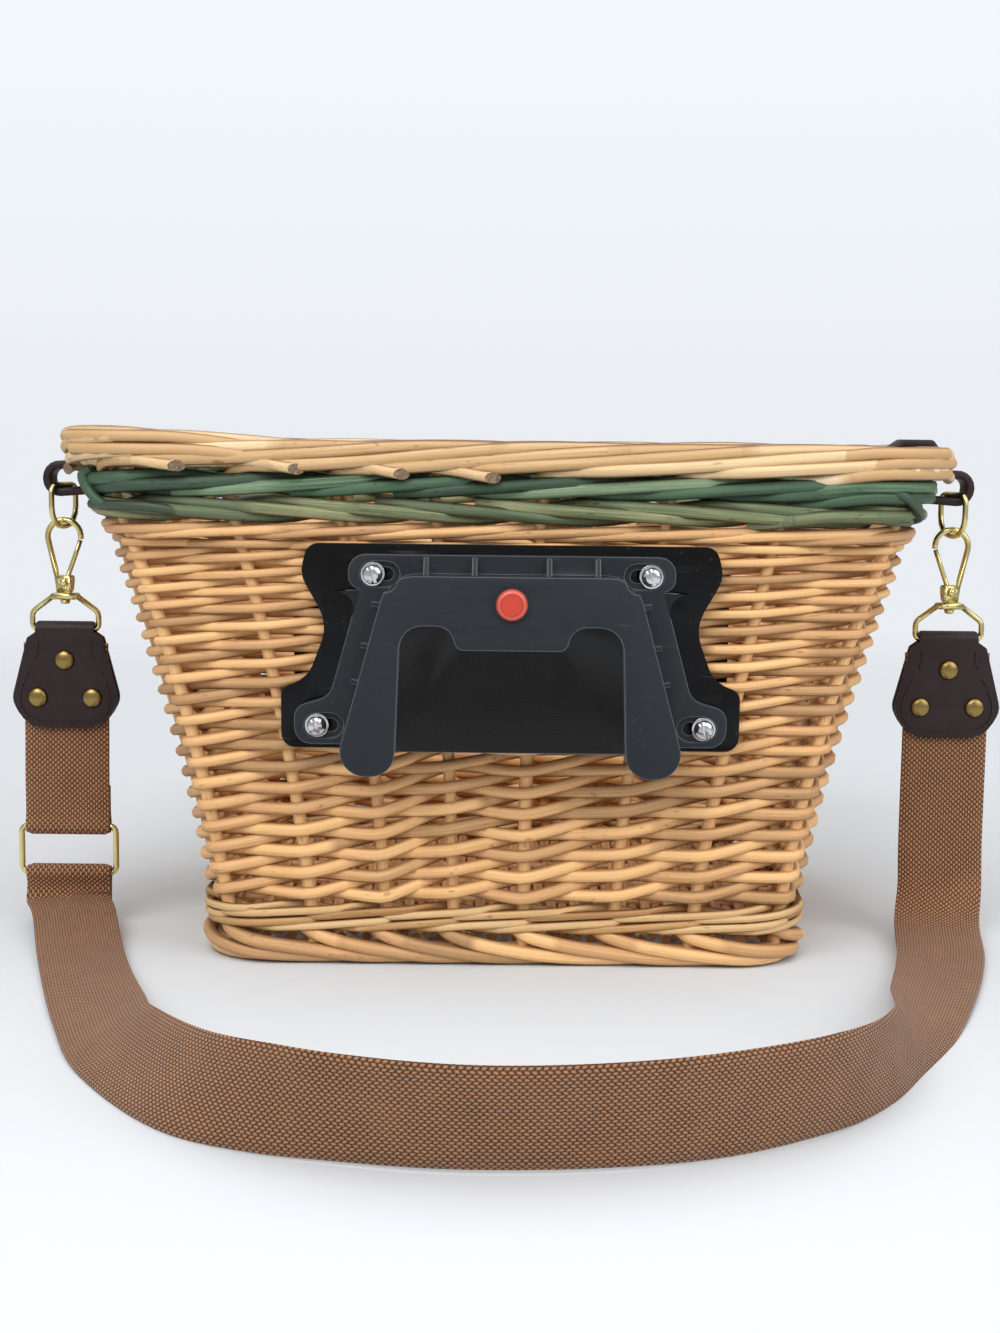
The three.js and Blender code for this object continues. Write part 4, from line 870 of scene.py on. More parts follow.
def base_routes():
    """Sticks along the base and the rods woven across them, over one and under the next."""
    half_x, half_y, corner = wall_section(8)
    middle = wall_shift(8)
    limit_x, limit_y, corner = half_x - BASE_INSET, half_y - BASE_INSET, corner - BASE_CORNER_LESS

    def reach(past, half):
        """Half the length of a rod whose distance past the start of a corner is given."""
        return half - corner + math.sqrt(max(0.0, corner ** 2 - max(0.0, past) ** 2))

    uneven = random.Random("base")
    routes = []
    pace = 2 * half_y / (BASE_STICKS - 1)
    for stick in range(1, BASE_STICKS - 1):
        y = stick * pace - half_y
        end = reach(abs(y) - (limit_y - corner), limit_x)
        routes.append([
            (Vector((end * (-1 + step / 10), y + middle, BASE_HEIGHT)), 2.6) for step in range(21)
        ])
    rows = 2 * round(half_x / BASE_ROW_PITCH)
    for row in range(rows + 1):
        x = half_x * (2 * row / rows - 1)
        if abs(x) > limit_x - 1:
            continue
        end = reach(abs(x) - (limit_x - corner), limit_y) - 1
        thick = uneven.uniform(2.2, 2.5)
        steps = round(2 * end / pace * 6)
        route = []
        for step in range(steps + 1):
            y = end * (-1 + 2 * step / steps)
            wave = math.cos(math.pi * ((y + half_y) / pace + row))
            route.append((Vector((x, y + middle, BASE_HEIGHT + BASE_WAVE * wave)), thick))
        routes.append(route)
    return routes


# Sheets and straps


def curve_through(points, per_span):
    """Centripetal curve through points, as (x, y, z) vectors, sampled per_span times for each span."""
    points = [Vector(p) for p in points]
    padded = [2 * points[0] - points[1], *points, 2 * points[-1] - points[-2]]
    result = []
    for i in range(len(points) - 1):
        a, b, c, d = padded[i:i + 4]
        t0 = 0.0
        t1 = t0 + max((b - a).length, 1e-6) ** 0.5
        t2 = t1 + max((c - b).length, 1e-6) ** 0.5
        t3 = t2 + max((d - c).length, 1e-6) ** 0.5
        for step in range(per_span + (i == len(points) - 2)):
            t = t1 + (t2 - t1) * step / per_span
            ab = a * ((t1 - t) / (t1 - t0)) + b * ((t - t0) / (t1 - t0))
            bc = b * ((t2 - t) / (t2 - t1)) + c * ((t - t1) / (t2 - t1))
            cd = c * ((t3 - t) / (t3 - t2)) + d * ((t - t2) / (t3 - t2))
            abc = ab * ((t2 - t) / (t2 - t0)) + bc * ((t - t0) / (t2 - t0))
            bcd = bc * ((t3 - t) / (t3 - t1)) + cd * ((t - t1) / (t3 - t1))
            result.append(abc * ((t2 - t) / (t2 - t1)) + bcd * ((t - t1) / (t2 - t1)))
    return result


def webbing_rows(stations, per_span=8):
    """Rows of (left edge, right edge, distance along) between stations of two edge points."""
    left = curve_through([a for a, _ in stations], per_span)
    right = curve_through([b for _, b in stations], per_span)
    middles = [(a + b) / 2 for a, b in zip(left, right)]
    rows = []
    along = 0.0
    for i, (a, b) in enumerate(zip(left, right)):
        middle = middles[i]
        ahead = (middles[min(i + 1, len(left) - 1)] - middles[max(i - 1, 0)]).normalized()
        skew = ahead * (b - a).dot(ahead)
        square = (b - a) - skew
        half = (square * (0.5 + 0.5 * WEBBING_WIDTH / square.length) + skew * 0.5) / 2
        if i:
            along += (middle - middles[i - 1]).length
        rows.append((middle - half, middle + half, along))
    return rows


def lay_webbing(name, rows):
    """Strap mesh over rows of edge points, with rounded edges and a UV map in metres."""
    verts, faces, uvs = [], [], []
    profile = []
    for cell in range(WEBBING_CELLS + 1):
        share = cell / WEBBING_CELLS
        swell = min(1.0, math.sqrt(max(0.0, 1 - abs(2 * share - 1) ** 14)) + 0.12)
        profile.append((share, swell))
    section = [(share, swell / 2) for share, swell in profile]
    section += [(share, -swell / 2) for share, swell in reversed(profile)]
    count = len(section)
    middles = [(a + b) / 2 for a, b, _ in rows]
    for i, (a, b, along) in enumerate(rows):
        ahead = middles[min(i + 1, len(rows) - 1)] - middles[max(i - 1, 0)]
        normal = ahead.cross(b - a).normalized()
        for share, level in section:
            verts.append((a.lerp(b, share) + normal * WEBBING_THICKNESS * level) * MM)
            uvs.append((share * (b - a).length * MM, along * MM))
    for i in range(len(rows) - 1):
        for k in range(count):
            here, ahead = i * count + k, i * count + (k + 1) % count
            faces.append((here, ahead, ahead + count, here + count))
    faces.append(tuple(range(count)))
    faces.append(tuple(reversed(range((len(rows) - 1) * count, len(rows) * count))))
    mesh = bpy.data.meshes.new(name)
    mesh.from_pydata(verts, [], faces)
    layer = mesh.uv_layers.new(name="weave")
    for loop in mesh.loops:
        layer.data[loop.index].uv = uvs[loop.vertex_index]
    piece = bpy.data.objects.new(name, mesh)
    bpy.context.collection.objects.link(piece)
    turn_outward(piece)
    return piece


def select_only(piece):
    deselect_all()
    piece.select_set(True)
    bpy.context.view_layer.objects.active = piece


def open_mesh(piece):
    """Opens a piece in edit mode with all of it selected."""
    select_only(piece)
    bpy.ops.object.mode_set(mode="EDIT")
    bpy.ops.mesh.select_all(action="SELECT")


def smooth_by_angle(degrees):
    bpy.ops.object.shade_smooth_by_angle(angle=math.radians(degrees))


def turn_outward(piece):
    open_mesh(piece)
    bpy.ops.mesh.normals_make_consistent(inside=False)
    bpy.ops.object.mode_set(mode="OBJECT")
    smooth_by_angle(50)


def join_pieces(name, pieces):
    deselect_all()
    for piece in pieces:
        piece.select_set(True)
    bpy.context.view_layer.objects.active = pieces[0]
    bpy.ops.object.join()
    pieces[0].name = name
    return pieces[0]


def copy_of_node(node, name):
    """Merged copy of a solid of the frame, to be finished further."""
    piece = bpy.data.objects.new(name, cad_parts[node].data.copy())
    bpy.context.collection.objects.link(piece)
    open_mesh(piece)
    bpy.ops.mesh.remove_doubles(threshold=0.02 * MM)
    bpy.ops.mesh.tris_convert_to_quads(face_threshold=0.02, shape_threshold=3.1)
    bpy.ops.mesh.dissolve_limited(angle_limit=math.radians(1.5))
    bpy.ops.object.mode_set(mode="OBJECT")
    return piece


def round_edges(piece, width, degrees):
    """Modifier that rounds the edges of a piece where they bend by more than an angle."""
    rounding = piece.modifiers.new("Rounded Edges", "BEVEL")
    rounding.width = width
    rounding.segments = 3
    rounding.limit_method = "ANGLE"
    rounding.angle_limit = math.radians(degrees)
    return rounding


def soften(piece, width):
    """Rounds the edges of a piece for good."""
    select_only(piece)
    rounding = round_edges(piece, width, 35)
    bpy.ops.object.modifier_apply(modifier=rounding.name)
    smooth_by_angle(50)
    return piece


def polish_node(node, material, width=0.0):
    """Gives a solid of the frame its finish and, with a width, live rounded edges."""
    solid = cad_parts[node]
    solid.data.materials.clear()
    solid.data.materials.append(material)
    weld = solid.modifiers.new("Weld", "WELD")
    weld.merge_threshold = 0.01 * MM
    if width:
        round_edges(solid, width, 30)
    select_only(solid)
    smooth_by_angle(40)


# Finishes


def lightened(colour, factor):
    """A colour made lighter or darker, as red, green, blue and full alpha."""
    return tuple(min(1.0, channel * factor) for channel in colour[:3]) + (1.0,)


def willow_material(name, tones, spots=0.5, gap_shading=1.0):
    """Willow finish with dark, middle and light tones given as linear colours."""
    material, tree, shader = new_material(name)
    group = bpy.data.node_groups.get("Rod Grain") or rod_grain_group()
    # Gap Shading sets the strength of the painted shade on faces that look up or down
    inputs = {**dict(zip(("Dark", "Middle", "Light"), tones)), "Spots": spots, "Gap Shading": gap_shading}
    grain = add_node(tree, "Group", node_tree=group)
    fill(grain, inputs)
    fill(shader, {
        "Base Color": Output(grain.outputs["Color"]),
        "Roughness": Output(grain.outputs["Roughness"]),
        "Coat Weight": 0.12,
        "Coat Roughness": 0.4,
        "Normal": bump(Output(grain.outputs["Height"]), 0.5, 0.0004),
    })
    return material


def buff_willow():
    """Finish of most of the basket, made when it is first asked for."""
    found = bpy.data.materials.get("Buff Willow")
    if found:
        return found
    colour = bpy.context.scene.wicker.wall_colour
    tones = [lightened(colour, factor) for factor in (0.6, 1.0, 1.5)]
    # Only 0.6 of the painted shade on the faces that look up or down
    return willow_material("Buff Willow", tones, gap_shading=0.6)


def end_grain():
    """Cut wood at the end of a rod."""
    material, tree, shader = new_material("End Grain")
    blotch = noise(coordinates(tree), 900.0, 3.0, 0.7)
    tones = ramp(blotch, (0.35, srgb(0x5E4C3C)), (0.58, srgb(0x8E7860)), (0.75, srgb(0xB8A282)))
    fill(shader, {"Base Color": tones, "Roughness": 0.85, "Normal": bump(blotch, 0.6, 0.0004)})
    return material


def scuff_group():
    """Fine scratches and rubbed patches in object coordinates."""
    inputs = {"Amount": ("Float", 0.5)}
    group, (amount,), leaving = new_group("Scuffs", inputs, {"Mask": "Float", "Height": "Float"})
    scratches = []
    for turn, stretch in ((0.5, (30, 600, 600)), (-0.9, (500, 40, 600)), (2.0, (40, 500, 500))):
        lines = noise(coordinates(group, stretch, (0.3, turn, 0.2)), 1.0, 1.0)
        scratches.append(mask(lines, 0.70, 0.74))
    place = place_on(group)
    patches = mask(noise(place, 45.0, 3.0), 0.5, 0.7)
    lines = reckon("MAXIMUM", reckon("MAXIMUM", scratches[0], scratches[1]), scratches[2])
    fill(leaving, {"Mask": lines * patches * amount, "Height": noise(place, 1400.0)})
    return group


def hard_material(name, colour, worn, *, roughness, scratches, grain, depth=0.0001, metallic=0.0,
                  specular=0.5):
    """Plastic, paint or metal with scratches of a worn colour and a fine surface grain."""
    material, tree, shader = new_material(name)
    group = bpy.data.node_groups.get("Scuffs") or scuff_group()
    scuffs = add_node(tree, "Group", node_tree=group)
    fill(scuffs, {"Amount": scratches})
    scratched = Output(scuffs.outputs["Mask"])
    tint = noise(coordinates(tree), 60.0, 3.0)
    base = mix_colours(tint, lightened(colour, 1.0), lightened(colour, 0.82))
    fill(shader, {
        "Base Color": mix_colours(scratched, base, srgb(worn)),
        "Roughness": spread(tint, roughness * 0.85, min(1.0, roughness * 1.2)) + scratched * 0.25,
        "Normal": bump(Output(scuffs.outputs["Height"]), grain, depth),
        "Metallic": metallic,
        "Specular IOR Level": specular,
    })
    return material


def adapter_material():
    """Slate plastic: painted highlight and rubbed wear on its edges, black painted shade where it lies back
    under the arch.

    The thin horns of the flange below the upper lobes are painted black like the plate behind them.
    """
    material = hard_material("Slate Plastic", srgb(0x20262C), 0x59626A, roughness=0.5, scratches=0.3,
                             grain=0.35, depth=0.0002, specular=0.35)
    tree = material.node_tree
    shader = tree.nodes["Principled BSDF"]
    x, y, z = split(place_on(tree))
    aside = abs(x - ADAPTER_MIDDLE)
    # Painted shade: the plastic that lies back under the arch is painted black
    arch = (y + z * ADAPTER_LEAN > ARCH_DEPTH) * (aside < ARCH_HALF_WIDTH) * (z < ARCH_CEILING)
    low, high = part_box("release_button")
    height = z - (low[2] + high[2]) / 2
    outside = aside > (HORN_LINE_TOP - height) * HORN_LINE_SLOPE
    horn = outside * ((height > HORN_FOOT) * (height < HORN_TOP))
    under = reckon("MAXIMUM", arch, horn)
    # Painted highlight and rubbed wear: light grey along every bend of the edges, found with the Bevel node
    rounded = node_output(tree, "Bevel", {"Radius": HIGHLIGHT_AND_WEAR_EDGE}, samples=8)
    flat = node_output(tree, "NewGeometry", output="True Normal")
    bend = node_output(tree, "VectorMath", {0: rounded, 1: flat}, "Value", operation="DOT_PRODUCT")
    edges = ramp(bend, (0.84, WHITE), (0.98, BLACK)) * (0.7 - horn * 0.7)
    colour = Output(shader.inputs["Base Color"].links[0].from_socket)
    roughness = Output(shader.inputs["Roughness"].links[0].from_socket)
    blackened = mix_colours(under, colour, srgb(0x08080A))
    fill(shader, {
        "Base Color": mix_colours(edges, blackened, srgb(0x737B82)),
        "Roughness": roughness - under * 0.26,
    })
    return material


def button_material():
    """Red plastic with painted shade in a darker furrow between its middle disc and a painted highlight ring.
    """
    material = hard_material("Red Plastic", srgb(0xDD4634), 0xF08A72, roughness=0.38, scratches=0.3,
                             grain=0.05)
    tree = material.node_tree
    low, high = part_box("release_button")
    middle = [(a + b) / 2 for a, b in zip(low, high)]
    flat = node_output(tree, "VectorMath", {0: place_on(tree), 1: (1, 0, 1)}, operation="MULTIPLY")
    centre = (middle[0], 0, middle[2])
    away = node_output(tree, "VectorMath", {0: flat, 1: centre}, "Value", operation="DISTANCE")
    # Painted shade in the dark furrow band and painted highlight on the lighter ring outside it
    rings = ramp(away / ((high[0] - low[0]) / 2), (0.0, srgb(0xCC402E)), (0.66, srgb(0xC63C2B)),
                 (0.72, srgb(0x982A1B)), (0.79, srgb(0xD6614E)), (1.0, srgb(0xD05240)))
    fill(tree.nodes["Principled BSDF"], {"Base Color": rings})
    return material


def leather_material():
    """Dark smooth leather with a fine pebbled grain and lighter creases."""
    material, tree, shader = new_material("Dark Leather")
    colour = srgb(0x2A181A)
    place = coordinates(tree)
    cells = node_output(tree, "TexVoronoi", feature="SMOOTH_F1", output="Distance",
                        inputs={"Vector": place, "Scale": 1300.0})
    cloud = noise(place, 90.0, 4.0, 0.6)
    crease = noise(coordinates(tree, (1, 1, 0.35)), 420.0, 3.0, 0.7)
    tone = mix_colours(cloud, colour, lightened(colour, 0.6))
    fill(shader, {
        "Base Color": mix_colours(mask(crease, 0.62, 0.8) * 0.35, tone, srgb(0x473032)),
        "Roughness": spread(cloud, 0.38, 0.62),
        "Specular IOR Level": 0.3,
        "Coat Weight": 0.06,
        "Coat Roughness": 0.35,
        "Normal": bump(cells + crease * 0.6, 0.35, 0.0003),
    })
    return material


def webbing_material():
    """Brown webbing: short slanting yarns in columns along the strap, from its own UV map in metres."""
    material, tree, shader = new_material("Brown Webbing")
    sideways, lengthways, _ = split(node_output(tree, "UVMap", uv_map="weave"))
    column = sideways / (WEAVE_COLUMN * MM)
    odd = reckon("MODULO", reckon("FLOOR", column), 2.0)
    across = reckon("FRACT", column) - 0.5
    slant = across * (odd * 2.0 - 1.0) * 0.2
    pick = lengthways / (WEAVE_PICK * MM) + slant + odd * 0.5
    yarn = (reckon("SINE", pick * (2 * math.pi)) + 1.0) * 0.5
    arch = reckon("COSINE", across * math.pi)
    height = reckon("POWER", yarn, 0.7) * reckon("POWER", arch, 0.6)
    place = coordinates(tree)
    fibre = noise(place, 2600.0, 2.0)
    # Painted shade and highlight: colour follows yarn height, dark in hollows, light on crests; fibre noise
    # is yarn tone
    bright = height * 0.8 + fibre * 0.35 + noise(place, 70.0, 3.0) * 0.18
    fill(shader, {
        "Base Color": ramp(bright, (0.3, srgb(0x3A2317)), (0.92, srgb(0xB27E56))),
        "Roughness": 0.72,
        "Specular IOR Level": 0.35,
        "Sheen Weight": 0.15,
        "Sheen Roughness": 0.4,
        "Normal": bump(height + fibre * 0.25, 0.9, 0.0006),
    })
    return material


# Settings that a user may change


class WickerSettings(bpy.types.PropertyGroup):
    rod_thickness: bpy.props.FloatProperty(
        name="Rod Thickness", description="Thickness of the wall's rods at the foot",
        default=0.0056, min=0.003, max=0.007, unit="LENGTH")
    low_pitch: bpy.props.FloatProperty(
        name="Row Height Low", description="Height of one row of weaving at the foot",
        default=0.0047, min=0.003, max=0.007, unit="LENGTH")
    high_pitch: bpy.props.FloatProperty(
        name="Row Height High", description="Height of one row of weaving below the green bands",
        default=0.0035, min=0.002, max=0.006, unit="LENGTH")
    stake_thickness: bpy.props.FloatProperty(
        name="Stake Thickness", description="Thickness of the upright stakes",
        default=0.0057, min=0.003, max=0.007, unit="LENGTH")
    border_thickness: bpy.props.FloatProperty(
        name="Border Thickness", description="Thickness of the rods of the rim and the foot",
        default=0.0056, min=0.004, max=0.007, unit="LENGTH")
    wall_colour: bpy.props.FloatVectorProperty(
        name="Wall Colour", description="Middle tone of the buff willow",
        default=srgb(0xE2AE76)[:3], size=3, min=0, max=1, subtype="COLOR")
    green_colour: bpy.props.FloatVectorProperty(
        name="Green Colour", description="Middle tone of the stained willow",
        default=srgb(0x4C6E50)[:3], size=3, min=0, max=1, subtype="COLOR")


class FittingSettings(bpy.types.PropertyGroup):
    edge_rounding: bpy.props.FloatProperty(
        name="Edge Rounding", description="Rounding of the adapter's moulded edges",
        default=0.0006, min=0.0, max=0.002, unit="LENGTH")
    stitch_length: bpy.props.FloatProperty(
        name="Stitch Length", description="Length of one stitch round the leather tabs",
        default=0.0026, min=0.001, max=0.005, unit="LENGTH")
    brass_colour: bpy.props.FloatVectorProperty(
        name="Brass Colour", description="Colour of the rings, hooks and bows",
        default=srgb(0xE6D796)[:3], size=3, min=0, max=1, subtype="COLOR")


class StageSettings(bpy.types.PropertyGroup):
    floor_colour: bpy.props.FloatVectorProperty(
        name="Floor Colour", description="Colour of the floor and the backdrop",
        default=(0.665, 0.695, 0.725), size=3, min=0, max=1, subtype="COLOR")
    light: bpy.props.FloatProperty(
        name="Light", description="Strength of all lamps together", default=1.0, min=0.1, max=4.0)


# Operators: one for each piece or group of like pieces


class BASKET_OT_wall(bpy.types.Operator):
    """Weave the wall between the foot and the green bands round its stakes"""
    bl_idname = "basket.wall"
    bl_label = "Wall"

    def execute(self, context):
        settings = context.scene.wicker
        stakes = stake_routes(settings)
        tones = [0.55 + 0.4 * random.Random(number).random() for number in range(len(stakes))]
        give(lay_rods("wall_stakes", stakes, tones=tones), "basket", buff_willow())
        give(lay_rods("wall_rows", weave_routes(settings)), "basket", buff_willow(),
             ("wall_weave",))
        give(lay_rods("top_rows", wale_routes("upper rows")), "basket", buff_willow(),
             ("top_wale",))
        return {"FINISHED"}


class BASKET_OT_green_bands(bpy.types.Operator):
    """Lay the two bands of green rods below the rim"""
    bl_idname = "basket.green_bands"
    bl_label = "Green Bands"

    def execute(self, context):
        green = context.scene.wicker.green_colour
        tones = (lightened(green, 0.4), lightened(green, 1.0), srgb(0xA3B48E))
        upper = willow_material("Green Willow", tones, spots=0.7)
        tones = (srgb(0x2C3E2C), srgb(0x66724E), srgb(0xC0B682))
        olive = willow_material("Olive Willow", tones, spots=1.0)
        falling = wale_routes("lower green", falling=True) + cut_rod_routes(LOWER_GREEN_ENDS)
        rising = wale_routes("upper green") + cut_rod_routes(UPPER_GREEN_ENDS)
        rising += [smooth_route(knots) for knots in STEEP_GREENS]
        give(lay_rods("green_rods_lower", falling, roundness=3), "basket", olive,
             ("green_wale_lower",))
        give(lay_rods("green_rods_upper", rising, roundness=3), "basket", upper,
             ("green_wale_upper",))
        return {"FINISHED"}


class BASKET_OT_rim(bpy.types.Operator):
    """Plait the rim border and trim the rod tips below it"""
    bl_idname = "basket.rim"
    bl_label = "Rim"

    def execute(self, context):
        settings = context.scene.wicker
        pale = willow_material("Pale Willow", (srgb(0xC29A69), srgb(0xE2C292), srgb(0xF4E2C2)), spots=0.6)
        cut_face = end_grain()
        thick = TIP_THICKNESS * settings.border_thickness / MM
        stakes = (*range(-1, 3), *range(6, STAKES - 1))
        pieces = join_pieces("rim_tips", [rim_tip(stake, thick, (pale, cut_face)) for stake in stakes])
        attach(pieces, "basket")
        rods = rim_routes(settings) + cut_rod_routes(RIM_ENDS)
        give(lay_rods("rim_rods", rods, roundness=3), "basket", pale, ("rim_border",))
        return {"FINISHED"}


def rim_tip(stake, thick, materials):
    """Tip of a rim rod, cut off slantwise below the border so that its oval end faces outwards."""
    shift, lift = TIP_SHIFTS.get(stake, USUAL_TIP_SHIFT)
    end = stake + TIP_END + shift
    route = smooth_route([(end + place, z + lift, offset, thick) for place, z, offset in TIP_KNOTS])
    piece = lay_rods(f"rim_tip_{stake}", [route], roundness=3, tones=[0.35])
    cut_height, cut_offset = TIP_CUT
    cut = wall_point(end, cut_height + lift, cut_offset)
    ahead = wall_point(end + 0.1, cut.z, 0.0) - wall_point(end - 0.1, cut.z, 0.0)
    ahead.z = 0
    ahead.normalize()
    outward = Vector((ahead.y, -ahead.x, 0))
    facing_ahead, facing_out, facing_up = TIP_FACING
    normal = (ahead * facing_ahead + outward * facing_out + Vector((0, 0, facing_up))).normalized()
    piece.data.materials.clear()
    for material in materials:
        piece.data.materials.append(material)
    open_mesh(piece)
    bpy.ops.mesh.bisect(plane_co=cut * MM, plane_no=normal, use_fill=True, clear_outer=True)
    bpy.ops.object.mode_set(mode="OBJECT")
    for face in piece.data.polygons:
        if face.normal.dot(normal) > 0.98 and len(face.vertices) > 4:
            face.material_index = 1
            face.use_smooth = False
    return piece


class BASKET_OT_foot(bpy.types.Operator):
    """Lay the thin rods above the foot and the thick border that the basket stands on"""
    bl_idname = "basket.foot"
    bl_label = "Foot"

    def execute(self, context):
        straw = willow_material("Straw Willow", (srgb(0xA0713F), srgb(0xCFA269), srgb(0xE6C592)), spots=0.6)
        rows = wale_routes("foot low") + wale_routes("foot high")
        give(lay_rods("foot_rows", rows), "basket", straw, ("foot_wale",))
        rods = foot_border_routes(context.scene.wicker)
        give(lay_rods("foot_rods", rods, roundness=3), "basket", buff_willow(), ("foot_border",))
        return {"FINISHED"}


class BASKET_OT_base(bpy.types.Operator):
    """Weave the base"""
    bl_idname = "basket.base"
    bl_label = "Base"

    def execute(self, context):
        give(lay_rods("base_rods", base_routes()), "basket", buff_willow(), ("base_mat",))
        return {"FINISHED"}


class BASKET_OT_adapter(bpy.types.Operator):
    """Finish the plates, the adapter with its button and the bolts"""
    bl_idname = "basket.adapter"
    bl_label = "Adapter"

    def execute(self, context):
        rounding = context.scene.fittings.edge_rounding
        paint = hard_material("Black Paint", srgb(0x09090B), 0x8A8A8A, roughness=0.24, scratches=0.2,
                              grain=0.05, specular=0.2)
        plastic = adapter_material()
        steel = hard_material("Bright Steel", srgb(0xD9D9DC), 0x9C9C9C, roughness=0.18, scratches=0.2,
                              grain=0.03, metallic=1.0)
        spring = hard_material("Spring Steel", srgb(0xA5A8AB), 0x8C8C8C, roughness=0.3, scratches=0.2,
                               grain=0.03, metallic=1.0)
        for node in ("mounting_plate", "backing_plate"):
            polish_node(node, paint, width=0.0004)
        for node in ("adapter_body", "latch_tongue"):
            polish_node(node, plastic, width=rounding)
        polish_node("release_button", button_material(), width=0.0003)
        polish_node("button_spring", spring)
        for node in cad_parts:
            if node.split("_")[0] in ("bolt", "washer", "nut"):
                polish_node(node, steel, width=0.0002)
        return {"FINISHED"}


class BASKET_OT_leather(bpy.types.Operator):
    """Make the leather loops round the rim and the stitched tabs of the strap"""
    bl_idname = "basket.leather"
    bl_label = "Leather"

    def execute(self, context):
        leather = leather_material()
        thread = hard_material("Dark Thread", srgb(0x2A1B1D), 0x4A3A38, roughness=0.7, scratches=0.3,
                               grain=0.3)
        for side in ("left", "right"):
            loop = soften(copy_of_node(f"{side}_leather_loop", f"{side}_loop"), 0.0005)
            swell = loop.modifiers.new("Thick Leather", "DISPLACE")
            swell.strength = 0.0008
            swell.mid_level = 0.0
            bpy.ops.object.modifier_apply(modifier=swell.name)
            give(loop, "basket", leather, (f"{side}_leather_loop",))
            tab = soften(copy_of_node(f"{side}_leather_tab", f"{side}_tab_leather"), 0.0006)
            give(tab, f"{side}_tab", leather, (f"{side}_leather_tab",))
            stitches = tab_stitches(side, context.scene.fittings.stitch_length)
            give(stitches, f"{side}_tab", thread)
        return {"FINISHED"}


def tab_stitches(side, length):
    """Stitches near the edge of both faces of a tab, following its outline."""
    low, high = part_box(f"{side}_leather_tab")
    middle = (low[0] + high[0]) / 2
    half = (high[0] - low[0]) / 2
    top = high[2] - TAB_HEAD
    outline = []
    for share, down in TAB_OUTLINE:
        x = share * half - STITCH_INSET * (0.9 if down < 0.9 else share)
        z = top - (top - low[2] - STITCH_INSET) * down
        outline.append(Vector((x, 0, z)) / MM)
    outline += [Vector((-p.x, 0, p.z)) for p in reversed(outline[:-1])]
    path = curve_through(outline, per_span=10)
    routes = []
    travelled, stitch, start = 0.0, length / MM, None
    for here, ahead in zip(path, path[1:]):
        travelled += (ahead - here).length
        if start is None:
            start, travelled = here, 0.0
        elif stitch * 0.72 <= travelled < stitch:
            for face, out in ((low[1], -THREAD_PROUD), (high[1], THREAD_PROUD)):
                y = face / MM + out
                ends = [Vector((middle / MM + p.x, y, p.z)) for p in (start, ahead)]
                sunk = [Vector((p.x, y - 3 * out, p.z)) for p in ends]
                routes.append([(sunk[0], 0.3), (ends[0], 0.33), (ends[0].lerp(ends[1], 0.5), 0.36),
                               (ends[1], 0.33), (sunk[1], 0.3)])
            travelled = stitch
        elif travelled >= stitch:
            start, travelled = here, 0.0
    return lay_rods(f"{side}_tab_stitches", routes, roundness=1)


class BASKET_OT_brass(bpy.types.Operator):
    """Finish the rings, hooks, bows, rivets and the slide ring"""
    bl_idname = "basket.brass"
    bl_label = "Brass"

    def execute(self, context):
        colour = context.scene.fittings.brass_colour
        brass = hard_material("Pale Brass", colour, 0xC4AC66, roughness=0.2, scratches=0.3,
                              grain=0.03, metallic=1.0)
        old = hard_material("Old Brass", srgb(0x9A8450), 0xC4B078, roughness=0.3, scratches=0.8,
                            grain=0.2, metallic=1.0)
        for side in ("left", "right"):
            for part in ("ring", "snap_hook", "hook_gate", "gate_pin", "strap_bow"):
                polish_node(f"{side}_{part}", brass)
            for number in (1, 2, 3):
                polish_node(f"{side}_tab_rivet_{number}", old)
        polish_node("slide_ring", brass)
        return {"FINISHED"}


class BASKET_OT_webbing(bpy.types.Operator):
    """Lay the shoulder strap and the short webbing that holds the slide ring"""
    bl_idname = "basket.webbing"
    bl_label = "Webbing"

    def execute(self, context):
        brown = webbing_material()
        rows = webbing_rows(SHORT_WEBBING, per_span=5)
        short = lay_webbing("short_strap", rows)
        length = rows[-1][2] * MM
        give(short, "left_tab", brown, ("short_webbing",))
        rows = webbing_rows(LONG_WEBBING)
        total = rows[-1][2]
        ends = [0.0, *STRAP_JOINTS_LEFT, *(total - back for back in reversed(STRAP_JOINTS_RIGHT)), total]
        for number, (bodies, low, high) in enumerate(zip(STRAP_BODIES, ends, ends[1:])):
            inner = [row for row in rows if low + ROW_GAP < row[2] < high - ROW_GAP]
            span = [row_at(rows, low), *inner, row_at(rows, high)]
            piece = lay_webbing(f"strap_{number + 1}", span)
            piece.data.materials.append(brown)
            if number == STRAP_BODIES.index(("basket",)):
                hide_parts("shoulder_strap")
            held = "laid" if bodies == ("basket",) else "hung"
            (high - low) * MM
            if len(bodies) == 1:
                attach(piece, bodies[0])
            else:
                start, end = ((span[k][0] + span[k][1]) / 2 * MM for k in (0, -1))
                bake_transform(piece)
        return {"FINISHED"}


def row_at(rows, along):
    """Row of a strap at a distance along it."""
    for here, ahead in zip(rows, rows[1:]):
        if here[2] <= along <= ahead[2]:
            share = (along - here[2]) / (ahead[2] - here[2])
            return here[0].lerp(ahead[0], share), here[1].lerp(ahead[1], share), along
    return rows[-1]


